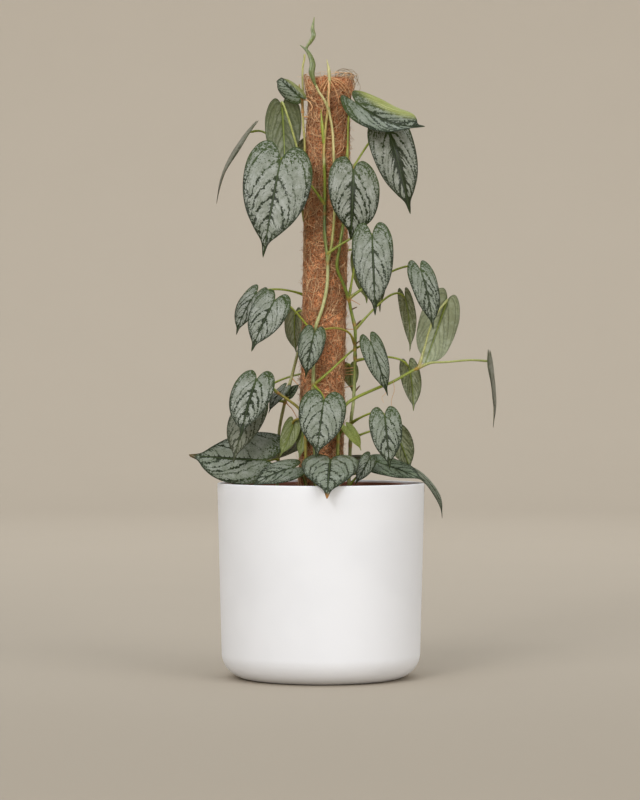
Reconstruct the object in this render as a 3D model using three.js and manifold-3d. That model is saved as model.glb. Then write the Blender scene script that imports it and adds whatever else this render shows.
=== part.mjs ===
// A silver leaf philodendron climbing a coir pole, in a white cover pot.
// Millimetres, +Z up. The origin is the centre of the pot's flat underside, and the plant's front faces -Y.

import * as THREE from "three";
import { mergeVertices } from "three/addons/utils/BufferGeometryUtils.js";
import Module from "manifold-3d";

const wasm = await Module();
wasm.setup();

// Cover pot: a plain white pot of 22 cm, with a rounded foot and a slight taper
const potHeight = 205.5;
const potRimRadius = 109.5;
const potLowRadius = 105;
const potFootRadius = 78;
const potWall = 3;
const potRimRound = 1.2;

// Grower's pot of 19 cm inside it, with a collar at its rim and drainage holes in its floor
const growRimHeight = 203.5;
const growRimRadius = 99;
const growCollarHeight = 17;
const growBodyRadius = 95;
const growFootRadius = 72;
const growWall = 1.5;
const drainHoleRadius = 6;
const drainHoleCircle = 50;
const drainHoleCount = 6;

// Potting soil, mounded a little towards the pole
const soilEdgeHeight = 183;
const soilMound = 4;

// Coir pole of 600 mm, standing in the soil and leaning to the right, with a waist under its wider head
const poleBottom = 33;
const poleLength = 600;
const poleRadius = 22.4;
const poleWaistRadius = 20.8;
const poleWaistHeight = 602;
const poleWaistHalf = 5;
const poleWaistReach = 20;
const poleHeadRadius = 25;
const poleTopRound = 6;
const poleLean = 0.022;
const poleCrossHeight = 230;
const stakeRadius = 8;
const stakeCover = 12;

// Plant
const bladeThickness = 0.8;
const petioleSheathRadius = 1.9;
const petioleRadius = 1.15;
const petioleBow = 0.12;
const stemFoot = 152;

// Room left between neighbouring pieces, and round a stem in its hole in the soil
const gap = 0.35;
const holeRoom = 0.5;

// Fineness of the round pieces
const potSides = 36;
const soilSides = 28;
const stakeSides = 10;
const drainHoleSides = 8;
const poleSides = 16;
const stemSides = 6;
const petioleSides = 5;
const petioleSteps = 4;
const spurSides = 5;

// A blade narrower than this on each side of its midrib needs one strip of faces there, and not two
const smallLeafHalfWidth = 12;

const white = new THREE.MeshStandardMaterial({ color: 0xeeedec, roughness: 0.5, metalness: 0 });
const terracotta = new THREE.MeshStandardMaterial({ color: 0x7d4630, roughness: 0.6, metalness: 0 });
const earth = new THREE.MeshStandardMaterial({ color: 0x35261c, roughness: 1, metalness: 0 });
const coir = new THREE.MeshStandardMaterial({ color: 0x5c3322, roughness: 1, metalness: 0 });
const timber = new THREE.MeshStandardMaterial({ color: 0xa98a5f, roughness: 0.8, metalness: 0 });
const stemGreen = new THREE.MeshStandardMaterial({ color: 0x8f9f52, roughness: 0.45, metalness: 0 });
const silver = new THREE.MeshStandardMaterial({ color: 0x9fae94, roughness: 0.4, metalness: 0 });
const newGreen = new THREE.MeshStandardMaterial({ color: 0xa9b36a, roughness: 0.4, metalness: 0 });

const plant = new THREE.Group();

function add(name, geometry, material) {
  const mesh = new THREE.Mesh(geometry, material);
  mesh.name = name;
  plant.add(mesh);
}

// Joining and cutting

function toSolid(geometry) {
  const bare = geometry.clone();
  bare.deleteAttribute("normal");
  bare.deleteAttribute("uv");
  const merged = mergeVertices(bare, 1e-4);
  return new wasm.Manifold(new wasm.Mesh({
    numProp: 3,
    vertProperties: new Float32Array(merged.attributes.position.array),
    triVerts: new Uint32Array(merged.index.array),
  }));
}

function toGeometry(solid) {
  const mesh = solid.getMesh();
  const geometry = new THREE.BufferGeometry();
  geometry.setAttribute("position", new THREE.BufferAttribute(mesh.vertProperties, 3));
  geometry.setIndex(new THREE.BufferAttribute(mesh.triVerts, 1));
  geometry.computeVertexNormals();
  return geometry;
}

function joined(geometries) {
  return geometries.map(toSolid).reduce((whole, piece) => whole.add(piece));
}

// A solid of revolution about the z axis, from [radius, height] points that run up the outside

function turned(profile, sides) {
  const points = profile.map(([radius, height]) => new THREE.Vector2(radius, height));
  const geometry = new THREE.LatheGeometry(points, sides);
  geometry.rotateX(Math.PI / 2);
  return geometry;
}

function quarterRound(centreRadius, centreHeight, radius, steps) {
  return Array.from({ length: steps + 1 }, (_, i) => {
    const angle = (Math.PI / 2) * (i / steps);
    return [centreRadius + radius * Math.sin(angle), centreHeight - radius * Math.cos(angle)];
  });
}

// The pole's axis leans, so its centre moves sideways with height

function poleCentre(height) {
  return (height - poleCrossHeight) * poleLean;
}

function clearOfPole(point, radius) {
  const x = point.x - poleCentre(point.z);
  const distance = Math.hypot(x, point.y);
  const least = (point.z > poleWaistHeight ? poleHeadRadius : poleRadius) + radius + gap;
  if (distance >= least || distance === 0) {
    return point;
  }
  const push = least / distance;
  return new THREE.Vector3(poleCentre(point.z) + x * push, point.y * push, point.z);
}

// A closed tube through a list of points, with one radius for each point

function tube(points, radii, sides) {
  const count = points.length;
  const positions = [];
  const faces = [];
  let across = new THREE.Vector3(1, 0, 0);
  points.forEach((point, i) => {
    const before = points[Math.max(i - 1, 0)];
    const after = points[Math.min(i + 1, count - 1)];
    const along = after.clone().sub(before).normalize();
    across = across.clone().addScaledVector(along, -across.dot(along));
    if (across.length() < 0.1) {
      across = new THREE.Vector3(0, 1, 0).addScaledVector(along, -along.y);
    }
    across.normalize();
    const up = along.clone().cross(across);
    for (let side = 0; side < sides; side += 1) {
      const angle = (2 * Math.PI * side) / sides;
      const corner = point.clone()
        .addScaledVector(across, radii[i] * Math.cos(angle))
        .addScaledVector(up, radii[i] * Math.sin(angle));
      positions.push(corner.x, corner.y, corner.z);
    }
  });
  for (let i = 0; i < count - 1; i += 1) {
    for (let side = 0; side < sides; side += 1) {
      const next = (side + 1) % sides;
      const a = i * sides + side;
      const b = i * sides + next;
      faces.push(a, b, b + sides, a, b + sides, a + sides);
    }
  }
  const end = (count - 1) * sides;
  for (let side = 1; side < sides - 1; side += 1) {
    faces.push(0, side + 1, side);
    faces.push(end, end + side, end + side + 1);
  }
  const geometry = new THREE.BufferGeometry();
  geometry.setAttribute("position", new THREE.Float32BufferAttribute(positions, 3));
  geometry.setIndex(faces);
  return geometry;
}

const vector = (list) => new THREE.Vector3(...list);

// Stems, from the foot upwards. Each follows its points smoothly and is pushed clear of the pole.

const stemShapes = {
  stem_front: {
    radius: 2,
    taper: 0.3,
    steps: 26,
    points: [[-6, -27, 176], [-6, -27, 220], [-7, -26, 262], [-8, -25, 301], [-8, -25, 322], [-7, -26, 351],
      [-5, -26, 371], [1, -26, 388], [6, -26, 410], [7, -26, 438], [4, -26, 466], [4, -26, 497],
      [4, -26, 526], [3, -26, 551], [4, -26, 572], [8, -26, 602]],
  },
  stem_crown: {
    radius: 1.5,
    taper: 0.1,
    steps: 13,
    points: [[7, -26, 436], [11, -27, 455], [14, -27, 486], [15, -27, 518], [13.5, -27, 546], [12, -27, 576],
      [8, -26, 600], [8, -26, 613], [9, -26, 630]],
  },
  stem_right: {
    radius: 1.8,
    taper: 0.1,
    steps: 24,
    points: [[28, -12, 176], [30, -12, 219], [31, -12, 251], [32, -13, 274], [34, -11, 289], [35, -9, 304],
      [36, -8, 332], [36, -8, 349], [36, -8, 368], [32, -9, 386], [29, -13, 400], [23, -19, 416],
      [17, -23, 432], [20, -22, 456], [24, -18, 482], [27, -16, 509], [28, -17, 530], [27, -18, 544]],
  },
  stem_branch: {
    radius: 1.8,
    taper: 0.2,
    steps: 18,
    points: [[16, -34, 176], [17, -34, 220], [18, -33, 251], [20, -32, 277], [27, -30, 289], [36, -27, 295],
      [58, -22, 305], [75, -18, 312], [95, -10, 323], [103, -8, 327]],
  },
  stem_left: {
    radius: 1.7,
    taper: 0.4,
    steps: 34,
    points: [[-47, -5, 176], [-45, -5, 230], [-44, -5, 261], [-38, -5, 291], [-36, -5, 299], [-31, -4, 317],
      [-27, 3, 333], [-24, 14, 345], [-19, 25, 362], [-15, 28, 400], [-12, 29, 432], [-14, 28, 464],
      [-19, 20, 490], [-21, 5, 516], [-18, -8, 541], [-17, -10, 561], [-19, -8, 588], [-19, -6, 613],
      [-19, -4, 646], [-16, -4, 658]],
  },
  stem_low: {
    radius: 1.6,
    taper: 0.1,
    steps: 12,
    points: [[-16, -42, 176], [-16, -41, 220], [-16, -40, 251], [-17, -37, 272], [-23, -34, 284],
      [-37, -32, 295], [-46, -30, 301]],
  },
  stem_back: {
    radius: 2.3,
    taper: 0.3,
    steps: 18,
    points: [[3, 28, 176], [2, 27, 218], [2, 27, 261], [3, 27, 304], [5, 27, 347], [7, 27, 400],
      [7, 27, 454], [8, 27, 507], [9, 27, 550], [10, 27, 590]],
  },
};

// The crown grows out of the front stem, so the two are one piece
const stemOfShape = { stem_crown: "stem_front" };

function stemPath(shape) {
  const points = shape.points.map(vector);
  if (shape !== stemShapes.stem_crown) {
    points.unshift(new THREE.Vector3(points[0].x, points[0].y, stemFoot));
  }
  const curve = new THREE.CatmullRomCurve3(points, false, "centripetal");
  return curve.getSpacedPoints(shape.steps).map((point) => clearOfPole(point, shape.radius));
}

const stemPaths = {};
const stemPieces = {};
Object.entries(stemShapes).forEach(([name, shape]) => {
  const path = stemPath(shape);
  stemPaths[name] = path;
  const radii = path.map((_, i) => shape.radius * (1 - shape.taper * (i / shape.steps) ** 2));
  const node = stemOfShape[name] ?? name;
  stemPieces[node] = stemPieces[node] ?? [];
  stemPieces[node].push(tube(path, radii, stemSides));
});

// Leaves. `from` is where the petiole leaves the stem, `base` where it meets the blade, `face` the way the
// silver side looks, `half` the half width, `arch` the rise of the midrib, `fold` the angle of each half
// above flat in degrees, `cup` how far the edges turn down, and `via` the points that a petiole passes
// through. The last three have a number for each half of the blade: `full` is how soon it narrows (less is
// fuller), `sides` how wide it is, and `slip` how far its edge is moved towards the tip.

const leafShapes = {
  leaf_01: { stem: "stem_left", from: [-21, 5, 516], base: [-76.5, 12, 578], tip: [-111, 16, 502],
    face: [-0.97, -0.12, 0.2], half: 26 },
  leaf_02: { stem: "stem_left", from: [-18, -8, 541], base: [-41, -4, 603], tip: [-38, -9, 534],
    face: [0.1, 1, 0.2], half: 20, slip: [0.12, 0] },
  leaf_03: { stem: "stem_left", from: [-19, -7, 596], base: [-22, -17, 611], tip: [-44, -14, 631],
    face: [-0.2, -0.95, 0.2], half: 11.5, fold: 18, cup: 0.6,
    full: [0.3, 0.3], sides: [1.05, 0.7], slip: [0.1, 0] },
  leaf_04: { stem: "stem_front", from: [4, -26, 490], base: [-42, -44, 543], tip: [-60, -62, 440],
    face: [0, -0.97, 0.25], half: 36, full: [1, 0.9], sides: [1.03, 1], slip: [0.03, -0.03] },
  leaf_05: { stem: "stem_right", from: [27, -18, 540], base: [36, -28, 605], tip: [108, -52, 577],
    face: [0.1, -0.75, 0.65], half: 27, arch: -0.14, fold: 22, full: [0.8, 0.85],
    sides: [0.92, 1], slip: [0.2, 0] },
  leaf_06: { stem: "stem_right", from: [27, -17, 532], base: [71, -14, 578], tip: [94, -20, 488],
    face: [0.1, -0.98, 0.2], half: 23, sides: [1, 1.1] },
  leaf_07: { stem: "stem_right", from: [26, -17, 500], base: [34, -40, 534], tip: [31, -37, 460],
    face: [0.05, -0.97, 0.25], half: 26.5, sides: [1.08, 1], slip: [0.16, 0] },
  leaf_08: { stem: "stem_front", from: [7, -26, 438], base: [53, -50, 464], tip: [56, -66, 380],
    face: [0, -0.97, 0.25], half: 22 },
  leaf_09: { stem: "stem_right", from: [29, -12, 400], base: [44, 31, 448], tip: [49, 28, 396],
    face: [0.2, 0.95, 0.2], half: 14 },
  leaf_10: { stem: "stem_left", from: [-15, 28, 400], base: [-68, 8, 407], tip: [-89.5, 2, 362],
    face: [-0.6, -0.7, 0.3], half: 17.5 },
  leaf_11: { stem: "stem_front", from: [-7, -26, 362], base: [-48, -44, 397], tip: [-72, -60, 343],
    face: [-0.15, -0.95, 0.3], half: 20 },
  leaf_12: { stem: "stem_left", from: [-15, 28, 396], base: [-28, 36, 385], tip: [-26, 33, 343],
    face: [-0.5, 0.8, 0.2], half: 13, sides: [1, 0.8] },
  leaf_13: { stem: "stem_right", from: [36, -8, 349], via: [[30, -20, 363], [18, -29, 368], [4, -31, 367]],
    base: [-7, -34, 363], tip: [-16, -42, 316], face: [-0.1, -0.95, 0.3], half: 15, sides: [0.92, 1] },
  leaf_14: { stem: "stem_right", from: [29, -13, 401], base: [104, -28, 430], tip: [117, -42, 366],
    face: [0.3, -0.9, 0.25], half: 16, sides: [0.95, 1], slip: [0.06, 0] },
  leaf_15: { stem: "stem_right", from: [36, -8, 374], base: [89, 2, 402], tip: [94, 2, 344],
    face: [0.6, 0.75, 0.1], half: 10.5 },
  leaf_16: { stem: "stem_branch", from: [103, -8, 327], via: [[109, -6, 347], [115, 0, 368], [123, 12, 385]],
    base: [135, 28, 400], tip: [111, 24, 331], face: [0.1, 1, 0.1],
    half: 25, full: [0.5, 0.5], sides: [0.9, 0.82], slip: [0.08, 0.2] },
  leaf_17: { stem: "stem_right", from: [36, -8, 340], base: [93, 5, 329], tip: [98, 5, 281],
    face: [0.5, 0.85, 0.1], half: 12.5 },
  leaf_18: { stem: "stem_branch", from: [101, -8, 326],
    via: [[115, -9, 332], [132, -12, 333], [158, -15, 335]],
    base: [178, -16, 334], tip: [181, -18, 264], face: [0.98, -0.15, 0.1], half: 24, arch: 0.03 },
  leaf_19: { stem: "stem_front", from: [-8, -25, 303], via: [[8, -29, 322], [24, -20, 337], [36, -1, 347]],
    base: [52, -25, 354], tip: [70, -32, 297], face: [0.1, -0.95, 0.3], half: 12.5, sides: [1, 1.06] },
  leaf_20: { stem: "stem_front", from: [-8, -25, 312], base: [3, -48, 293], tip: [-5, -68, 233],
    face: [0, -0.97, 0.25], half: 25 },
  leaf_21: { stem: "stem_right", from: [31, -12, 262], base: [66, -52, 277], tip: [71, -66, 221],
    face: [0.05, -0.97, 0.25], half: 17.5 },
  leaf_22: { stem: "stem_right", from: [31, -12, 248], base: [79, -10, 259], tip: [95, -8, 218],
    face: [0.2, 0.9, 0.2], half: 14 },
  leaf_23: { stem: "stem_low", from: [-46, -30, 301], base: [-67, -40, 315], tip: [-83, -62, 254],
    face: [-0.2, -0.93, 0.3], half: 22, sides: [1, 1.04], slip: [0, 0.08] },
  leaf_24: { stem: "stem_left", from: [-38, -5, 291], base: [-72, -22, 287], tip: [-91, -54, 227],
    face: [-0.3, -0.9, 0.3], half: 20 },
  leaf_25: { stem: "stem_left", from: [-33, -5, 309], base: [-38, -16, 306], tip: [-55, -20, 279],
    face: [-0.4, -0.5, 0.77], half: 10 },
  leaf_26: { stem: "stem_low", from: [-17, -37, 270], base: [-29, -28, 268], tip: [-43, -36, 234],
    face: [0.4, 0.9, 0.2], half: 10 },
  leaf_27: { stem: "stem_low", from: [-16, -40, 256], base: [-19, -29, 264], tip: [-23, -32, 231],
    face: [0.3, 0.9, 0.2], half: 7 },
  leaf_28: { stem: "stem_left", from: [-45, -5, 225], base: [-58, -26, 230], tip: [-138, -36, 236],
    face: [-0.1, -0.86, 0.5], half: 29, full: [0.65, 1], sides: [1.02, 1.22],
    slip: [0.12, -0.15], arch: -0.03 },
  leaf_29: { stem: "stem_low", from: [-16, -41, 212], base: [-27, -50, 223], tip: [-73, -62, 202],
    face: [0, -0.6, 0.8], half: 18 },
  leaf_30: { stem: "stem_branch", from: [17, -34, 214], base: [10, -62, 232], tip: [6, -128, 193],
    face: [0, -0.5, 0.86], half: 30 },
  leaf_31: { stem: "stem_right", from: [30, -12, 216], base: [51, -48, 233], tip: [35, -62, 205],
    face: [0.2, -0.9, 0.4], half: 9 },
  leaf_32: { stem: "stem_right", from: [29, -12, 205], base: [57, -22, 228], tip: [109, -45, 208.5],
    face: [0.1, -0.5, 0.85], half: 20, arch: 0.02 },
  leaf_33: { stem: "stem_back", from: [2, 27, 205], base: [103, 5, 216], tip: [128, -5, 168],
    face: [0.85, -0.3, 0.4], half: 14, arch: 0.12 },
  leaf_34: { stem: "stem_branch", from: [18, -33, 251], base: [27, -34, 265], tip: [42, -40, 240],
    face: [0.5, -0.8, 0.3], half: 8 },
  leaf_35: { stem: "stem_back", from: [3, 27, 310], base: [31, 28, 329], tip: [33, 28, 302],
    face: [0.1, 0.95, 0.2], half: 9 },
  leaf_36: { stem: "stem_back", from: [9, 27, 545], base: [-6, 52, 563], tip: [-22, 74, 496],
    face: [-0.1, 0.9, 0.4], half: 24 },
  leaf_37: { stem: "stem_back", from: [8, 27, 507], base: [32, 46, 529], tip: [39, 66, 462],
    face: [0.3, 0.9, 0.3], half: 22 },
  leaf_38: { stem: "stem_back", from: [7, 27, 430], base: [10, 52, 449], tip: [0, 68, 397],
    face: [-0.1, 0.95, 0.3], half: 18 },
  leaf_39: { stem: "stem_back", from: [5, 27, 355], base: [6, 50, 379], tip: [10, 70, 324],
    face: [0.1, 0.95, 0.35], half: 18 },
  leaf_40: { stem: "stem_back", from: [3, 27, 295], base: [6, 54, 314], tip: [7, 80, 252],
    face: [0, 0.9, 0.4], half: 19 },
  leaf_41: { stem: "stem_back", from: [2, 27, 228], base: [-25, 52, 250], tip: [-66, 88, 219],
    face: [-0.3, 0.6, 0.7], half: 21 },
  leaf_42: { stem: "stem_back", from: [2, 27, 212], base: [31, 52, 231], tip: [73, 88, 216],
    face: [0.3, 0.5, 0.8], half: 20 },
  leaf_43: { stem: "stem_back", from: [2, 27, 196], base: [-2, 50, 224], tip: [-1, 108, 219],
    face: [0, 0.4, 0.9], half: 19 },
  leaf_44: { stem: "stem_back", from: [7, 27, 440], base: [47, 54, 452], tip: [64, 70, 388],
    face: [0.7, 0.65, 0.25], half: 19 },
  leaf_45: { stem: "stem_back", from: [3, 27, 330], base: [-64, 54, 304], tip: [-76, 68, 252],
    face: [-0.65, 0.7, 0.3], half: 17 },
  leaf_46: { stem: "stem_back", from: [9, 27, 520], base: [-48, 54, 527], tip: [-60, 70, 468],
    face: [-0.6, 0.75, 0.3], half: 20 },
  leaf_47: { stem: "stem_left", from: [-37, -5, 295], base: [-33, -13, 298], tip: [-22, -16, 310],
    face: [-0.3, -0.9, 0.3], half: 5.5, fold: 25 },
};

// One half of a heart shaped blade: where each row starts on the midrib, and where it ends on the edge.
// Lengths are shares of the blade's length, widths are shares of its half width.
const bladeRows = [
  { mid: 0.02, edge: [-0.10, 0.13] },
  { mid: 0.06, edge: [-0.17, 0.37] },
  { mid: 0.11, edge: [-0.13, 0.70] },
  { mid: 0.19, edge: [0.02, 0.95] },
  { mid: 0.32, edge: [0.21, 1.0] },
  { mid: 0.47, edge: [0.42, 0.91] },
  { mid: 0.62, edge: [0.60, 0.69] },
  { mid: 0.76, edge: [0.75, 0.36] },
  { mid: 0.88, edge: [0.87, 0.07] },
];

const widestRow = 5;

function bladeFrame(leaf) {
  const base = vector(leaf.base);
  const along = vector(leaf.tip).sub(base);
  const length = along.length();
  along.normalize();
  const out = vector(leaf.face);
  out.addScaledVector(along, -out.dot(along)).normalize();
  const across = out.clone().cross(along);
  return { base, along, length, out, across };
}

// Maps a place on the flat blade, `u` along the midrib and `v` across it, onto the bent blade

function bladePoint(leaf, frame, u, v) {
  const { arch = 0.07, fold = 12, cup = 0.25, sides = [1, 1], slip = [0, 0] } = leaf;
  const place = u + Math.abs(v) * (v > 0 ? slip[0] : slip[1]);
  const rise = arch * frame.length;
  const slope = 4 * arch * (1 - 2 * place);
  const normal = frame.out.clone().addScaledVector(frame.along, -slope).normalize();
  const angle = THREE.MathUtils.degToRad(fold);
  const half = leaf.half * (v > 0 ? sides[0] : sides[1]);
  const width = Math.abs(v) * half;
  const wave = 0.03 * Math.sin(9 * u + 2 * Math.sign(v)) * Math.abs(v) ** 2;
  const height = width * (Math.sin(angle) - cup * Math.abs(v) + wave);
  return frame.base.clone()
    .addScaledVector(frame.along, frame.length * place)
    .addScaledVector(frame.out, 4 * rise * place * (1 - place))
    .addScaledVector(frame.across, v * half * Math.cos(angle))
    .addScaledVector(normal, height);
}

function bladeSheet(leaf, frame) {
  const { full = [0.85, 0.85] } = leaf;
  const columns = leaf.half < smallLeafHalfWidth ? 1 : 2;
  const last = bladeRows.length + 1;
  const positions = [];
  const place = (u, v) => {
    const point = bladePoint(leaf, frame, u, v);
    positions.push(point.x, point.y, point.z);
    return positions.length / 3 - 1;
  };
  const middle = [place(0, 0), ...bladeRows.map((row) => place(row.mid, 0)), place(1, 0)];
  const faces = [];
  [1, -1].forEach((side) => {
    const grid = middle.map((index, i) => {
      if (i === 0 || i === last) {
        return Array(columns + 1).fill(index);
      }
      const row = bladeRows[i - 1];
      const cells = [index];
      const edgeWidth = i > widestRow ? row.edge[1] ** (side > 0 ? full[0] : full[1]) : row.edge[1];
      for (let j = 1; j <= columns; j += 1) {
        const share = j / columns;
        cells.push(place(row.mid + share * (row.edge[0] - row.mid), side * share * edgeWidth));
      }
      return cells;
    });
    for (let i = 0; i < last; i += 1) {
      for (let j = 0; j < columns; j += 1) {
        const corners = [grid[i][j], grid[i + 1][j], grid[i + 1][j + 1], grid[i][j + 1]];
        [[0, 1, 2], [0, 2, 3]].forEach((triple) => {
          const triangle = triple.map((k) => corners[k]);
          if (new Set(triangle).size === 3) {
            faces.push(...(side > 0 ? triangle : triangle.reverse()));
          }
        });
      }
    }
  });
  const sheet = new THREE.BufferGeometry();
  sheet.setAttribute("position", new THREE.Float32BufferAttribute(positions, 3));
  sheet.setIndex(faces);
  sheet.computeVertexNormals();
  return sheet;
}

// Gives a sheet its thickness: the same triangles on both faces, and a rim round the edge

function thickened(sheet, thickness) {
  const points = sheet.attributes.position;
  const normals = sheet.attributes.normal;
  const count = points.count;
  const positions = [];
  [0.5, -0.5].forEach((share) => {
    for (let i = 0; i < count; i += 1) {
      const point = new THREE.Vector3().fromBufferAttribute(points, i);
      point.addScaledVector(new THREE.Vector3().fromBufferAttribute(normals, i), share * thickness);
      positions.push(point.x, point.y, point.z);
    }
  });
  const upper = Array.from(sheet.index.array);
  const faces = [...upper];
  const edges = new Set();
  for (let i = 0; i < upper.length; i += 3) {
    const [a, b, c] = upper.slice(i, i + 3);
    faces.push(a + count, c + count, b + count);
    edges.add(`${a},${b}`).add(`${b},${c}`).add(`${c},${a}`);
  }
  edges.forEach((edge) => {
    const [a, b] = edge.split(",").map(Number);
    if (!edges.has(`${b},${a}`)) {
      faces.push(b, a, a + count, b, a + count, b + count);
    }
  });
  const geometry = new THREE.BufferGeometry();
  geometry.setAttribute("position", new THREE.Float32BufferAttribute(positions, 3));
  geometry.setIndex(faces);
  geometry.computeVertexNormals();
  return geometry;
}

function nearest(path, point) {
  return path.reduce((best, p) => (p.distanceTo(point) < best.distanceTo(point) ? p : best));
}

function petioleCurve(leaf, start, end, arrive) {
  if (leaf.via) {
    return new THREE.CatmullRomCurve3([start, ...leaf.via.map(vector), end]);
  }
  const reach = start.distanceTo(end);
  const lift = petioleBow * reach;
  const leave = start.clone().lerp(end, 0.35);
  leave.z += lift;
  const approach = end.clone().addScaledVector(arrive, -0.3 * reach);
  approach.z += 0.5 * lift;
  return new THREE.CubicBezierCurve3(start, leave, approach, end);
}

function petiole(leaf, frame) {
  const start = nearest(stemPaths[leaf.stem], vector(leaf.from));
  const arrive = frame.out.clone().multiplyScalar(0.75).addScaledVector(frame.along, 0.6).normalize();
  const end = frame.base.clone().addScaledVector(frame.out, -bladeThickness / 2 - gap - petioleRadius);
  const path = petioleCurve(leaf, start, end, arrive).getPoints(petioleSteps).map((point, i) => (
    i === 0 ? point : clearOfPole(point, petioleRadius)
  ));
  const radii = path.map((_, i) => (i === 0 ? petioleSheathRadius : petioleRadius));
  return tube(path, radii, petioleSides);
}

Object.entries(leafShapes).forEach(([name, leaf]) => {
  const frame = bladeFrame(leaf);
  add(name, thickened(bladeSheet(leaf, frame), bladeThickness), silver);
  const node = stemOfShape[leaf.stem] ?? leaf.stem;
  stemPieces[node].push(petiole(leaf, frame));
});

// Rolled new leaves at the top: slender spindles, each on a petiole of its own

const rolledShapes = {
  rolled_leaf_tall: { points: [[-15.6, -4, 661], [-15, -4, 666], [-11, -4, 672], [-8, -4, 678], [-9, -4, 684],
    [-8, -4, 692], [-7, -4, 698]], radii: [1.1, 1.8, 2.6, 2.8, 2.2, 1.2, 0.4] },
  rolled_leaf_short: { points: [[-5.6, -29, 622], [-8, -30, 628], [-10, -30, 636], [-9, -29, 644],
    [-11, -28, 652], [-15, -28, 659], [-22, -27, 665]], radii: [1.2, 2.6, 3.9, 3.6, 2.8, 1.7, 0.4] },
};

Object.entries(rolledShapes).forEach(([name, shape]) => {
  add(name, tube(shape.points.map(vector), shape.radii, stemSides), newGreen);
});

stemPieces.stem_front.push(
  tube([[8, -26.4, 598], [3, -28, 608], [-2, -29, 615.5], [-4.6, -29, 620]].map(vector),
    [1.9, 1.4, 1.2, 1.1], spurSides),
  tube([[9, -27.4, 627], [8, -27, 640], [6, -26, 650]].map(vector), [1.9, 1.9, 0.5], stemSides),
  tube([[3, -26.5, 562], [1, -27.5, 584], [0, -27, 598]].map(vector), [1.6, 1.8, 0.5], stemSides),
);

// Short aerial roots and a sheathed bud on the climbing stems

const spurs = [
  { stem: "stem_right", points: [[31, -10, 388], [38, -10, 391]], radii: [1.1, 0.5] },
  { stem: "stem_right", points: [[36, -8, 371], [42, -9, 377]], radii: [1.3, 0.6] },
  { stem: "stem_right", points: [[36, -8, 352], [42, -9, 356]], radii: [1.3, 0.6] },
  { stem: "stem_right", points: [[35.5, -8, 302], [41, -9, 308]], radii: [1.3, 0.6] },
];
spurs.forEach((spur) => {
  stemPieces[spur.stem].push(tube(spur.points.map(vector), spur.radii, spurSides));
});

Object.entries(stemPieces).forEach(([name, pieces]) => {
  add(name, toGeometry(joined(pieces)), stemGreen);
});

// Cover pot

const potFootRound = potLowRadius - potFootRadius;
const potInnerFoot = quarterRound(potFootRadius, potFootRound, potFootRound - potWall, 3);
const potProfile = [
  [0, 0],
  ...quarterRound(potFootRadius, potFootRound, potFootRound, 5),
  [potRimRadius, potHeight - potRimRound],
  [potRimRadius - potRimRound, potHeight],
  [potRimRadius - potWall + potRimRound, potHeight],
  [potRimRadius - potWall, potHeight - potRimRound],
  ...potInnerFoot.reverse(),
  [0, potWall],
];
add("cover_pot", turned(potProfile, potSides), white);

// Grower's pot, standing on the cover pot's floor

const growBottom = potWall + gap;
const growFloor = growBottom + growWall;
const collarBottom = growRimHeight - growCollarHeight;
const growProfile = [
  [0, growBottom],
  [growFootRadius, growBottom],
  [growBodyRadius, collarBottom],
  [growRimRadius, collarBottom],
  [growRimRadius, growRimHeight],
  [growRimRadius - growWall, growRimHeight],
  [growRimRadius - growWall, collarBottom + growWall],
  [growBodyRadius - growWall, collarBottom + growWall],
  [growFootRadius - growWall, growFloor],
  [0, growFloor],
];
let growPot = toSolid(turned(growProfile, potSides));
for (let i = 0; i < drainHoleCount; i += 1) {
  const angle = (2 * Math.PI * i) / drainHoleCount;
  const hole = new THREE.CylinderGeometry(drainHoleRadius, drainHoleRadius, 4 * growWall, drainHoleSides);
  hole.rotateX(Math.PI / 2);
  hole.translate(drainHoleCircle * Math.cos(angle), drainHoleCircle * Math.sin(angle), growBottom);
  growPot = growPot.subtract(toSolid(hole));
}
add("grow_pot", toGeometry(growPot), terracotta);

// Coir sleeve: bored from below for the stake, and drawn in a little under its top

function leaning(geometry) {
  const positions = geometry.attributes.position;
  for (let i = 0; i < positions.count; i += 1) {
    positions.setX(i, positions.getX(i) + poleCentre(positions.getZ(i)));
  }
  geometry.computeVertexNormals();
  return geometry;
}

const poleTop = poleBottom + poleLength;
const stakeTop = poleTop - stakeCover;
const sleeveProfile = [
  [stakeRadius + gap, poleBottom],
  [poleRadius, poleBottom],
  [poleRadius, poleWaistHeight - poleWaistHalf - poleWaistReach],
  [poleWaistRadius, poleWaistHeight - poleWaistHalf],
  [poleWaistRadius, poleWaistHeight + poleWaistHalf],
  [poleHeadRadius, poleWaistHeight + poleWaistReach],
  [poleHeadRadius, poleTop - poleTopRound],
  [poleHeadRadius - poleTopRound, poleTop],
  [0, poleTop],
  [0, stakeTop + gap],
  [stakeRadius + gap, stakeTop + gap],
  [stakeRadius + gap, poleBottom],
];
add("coir_sleeve", leaning(turned(sleeveProfile, poleSides)), coir);

const stakeProfile = [[0, poleBottom], [stakeRadius, poleBottom], [stakeRadius, stakeTop], [0, stakeTop]];
add("stake", leaning(turned(stakeProfile, stakeSides)), timber);

// Soil, with a plain hole for the pole and for each stem

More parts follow.
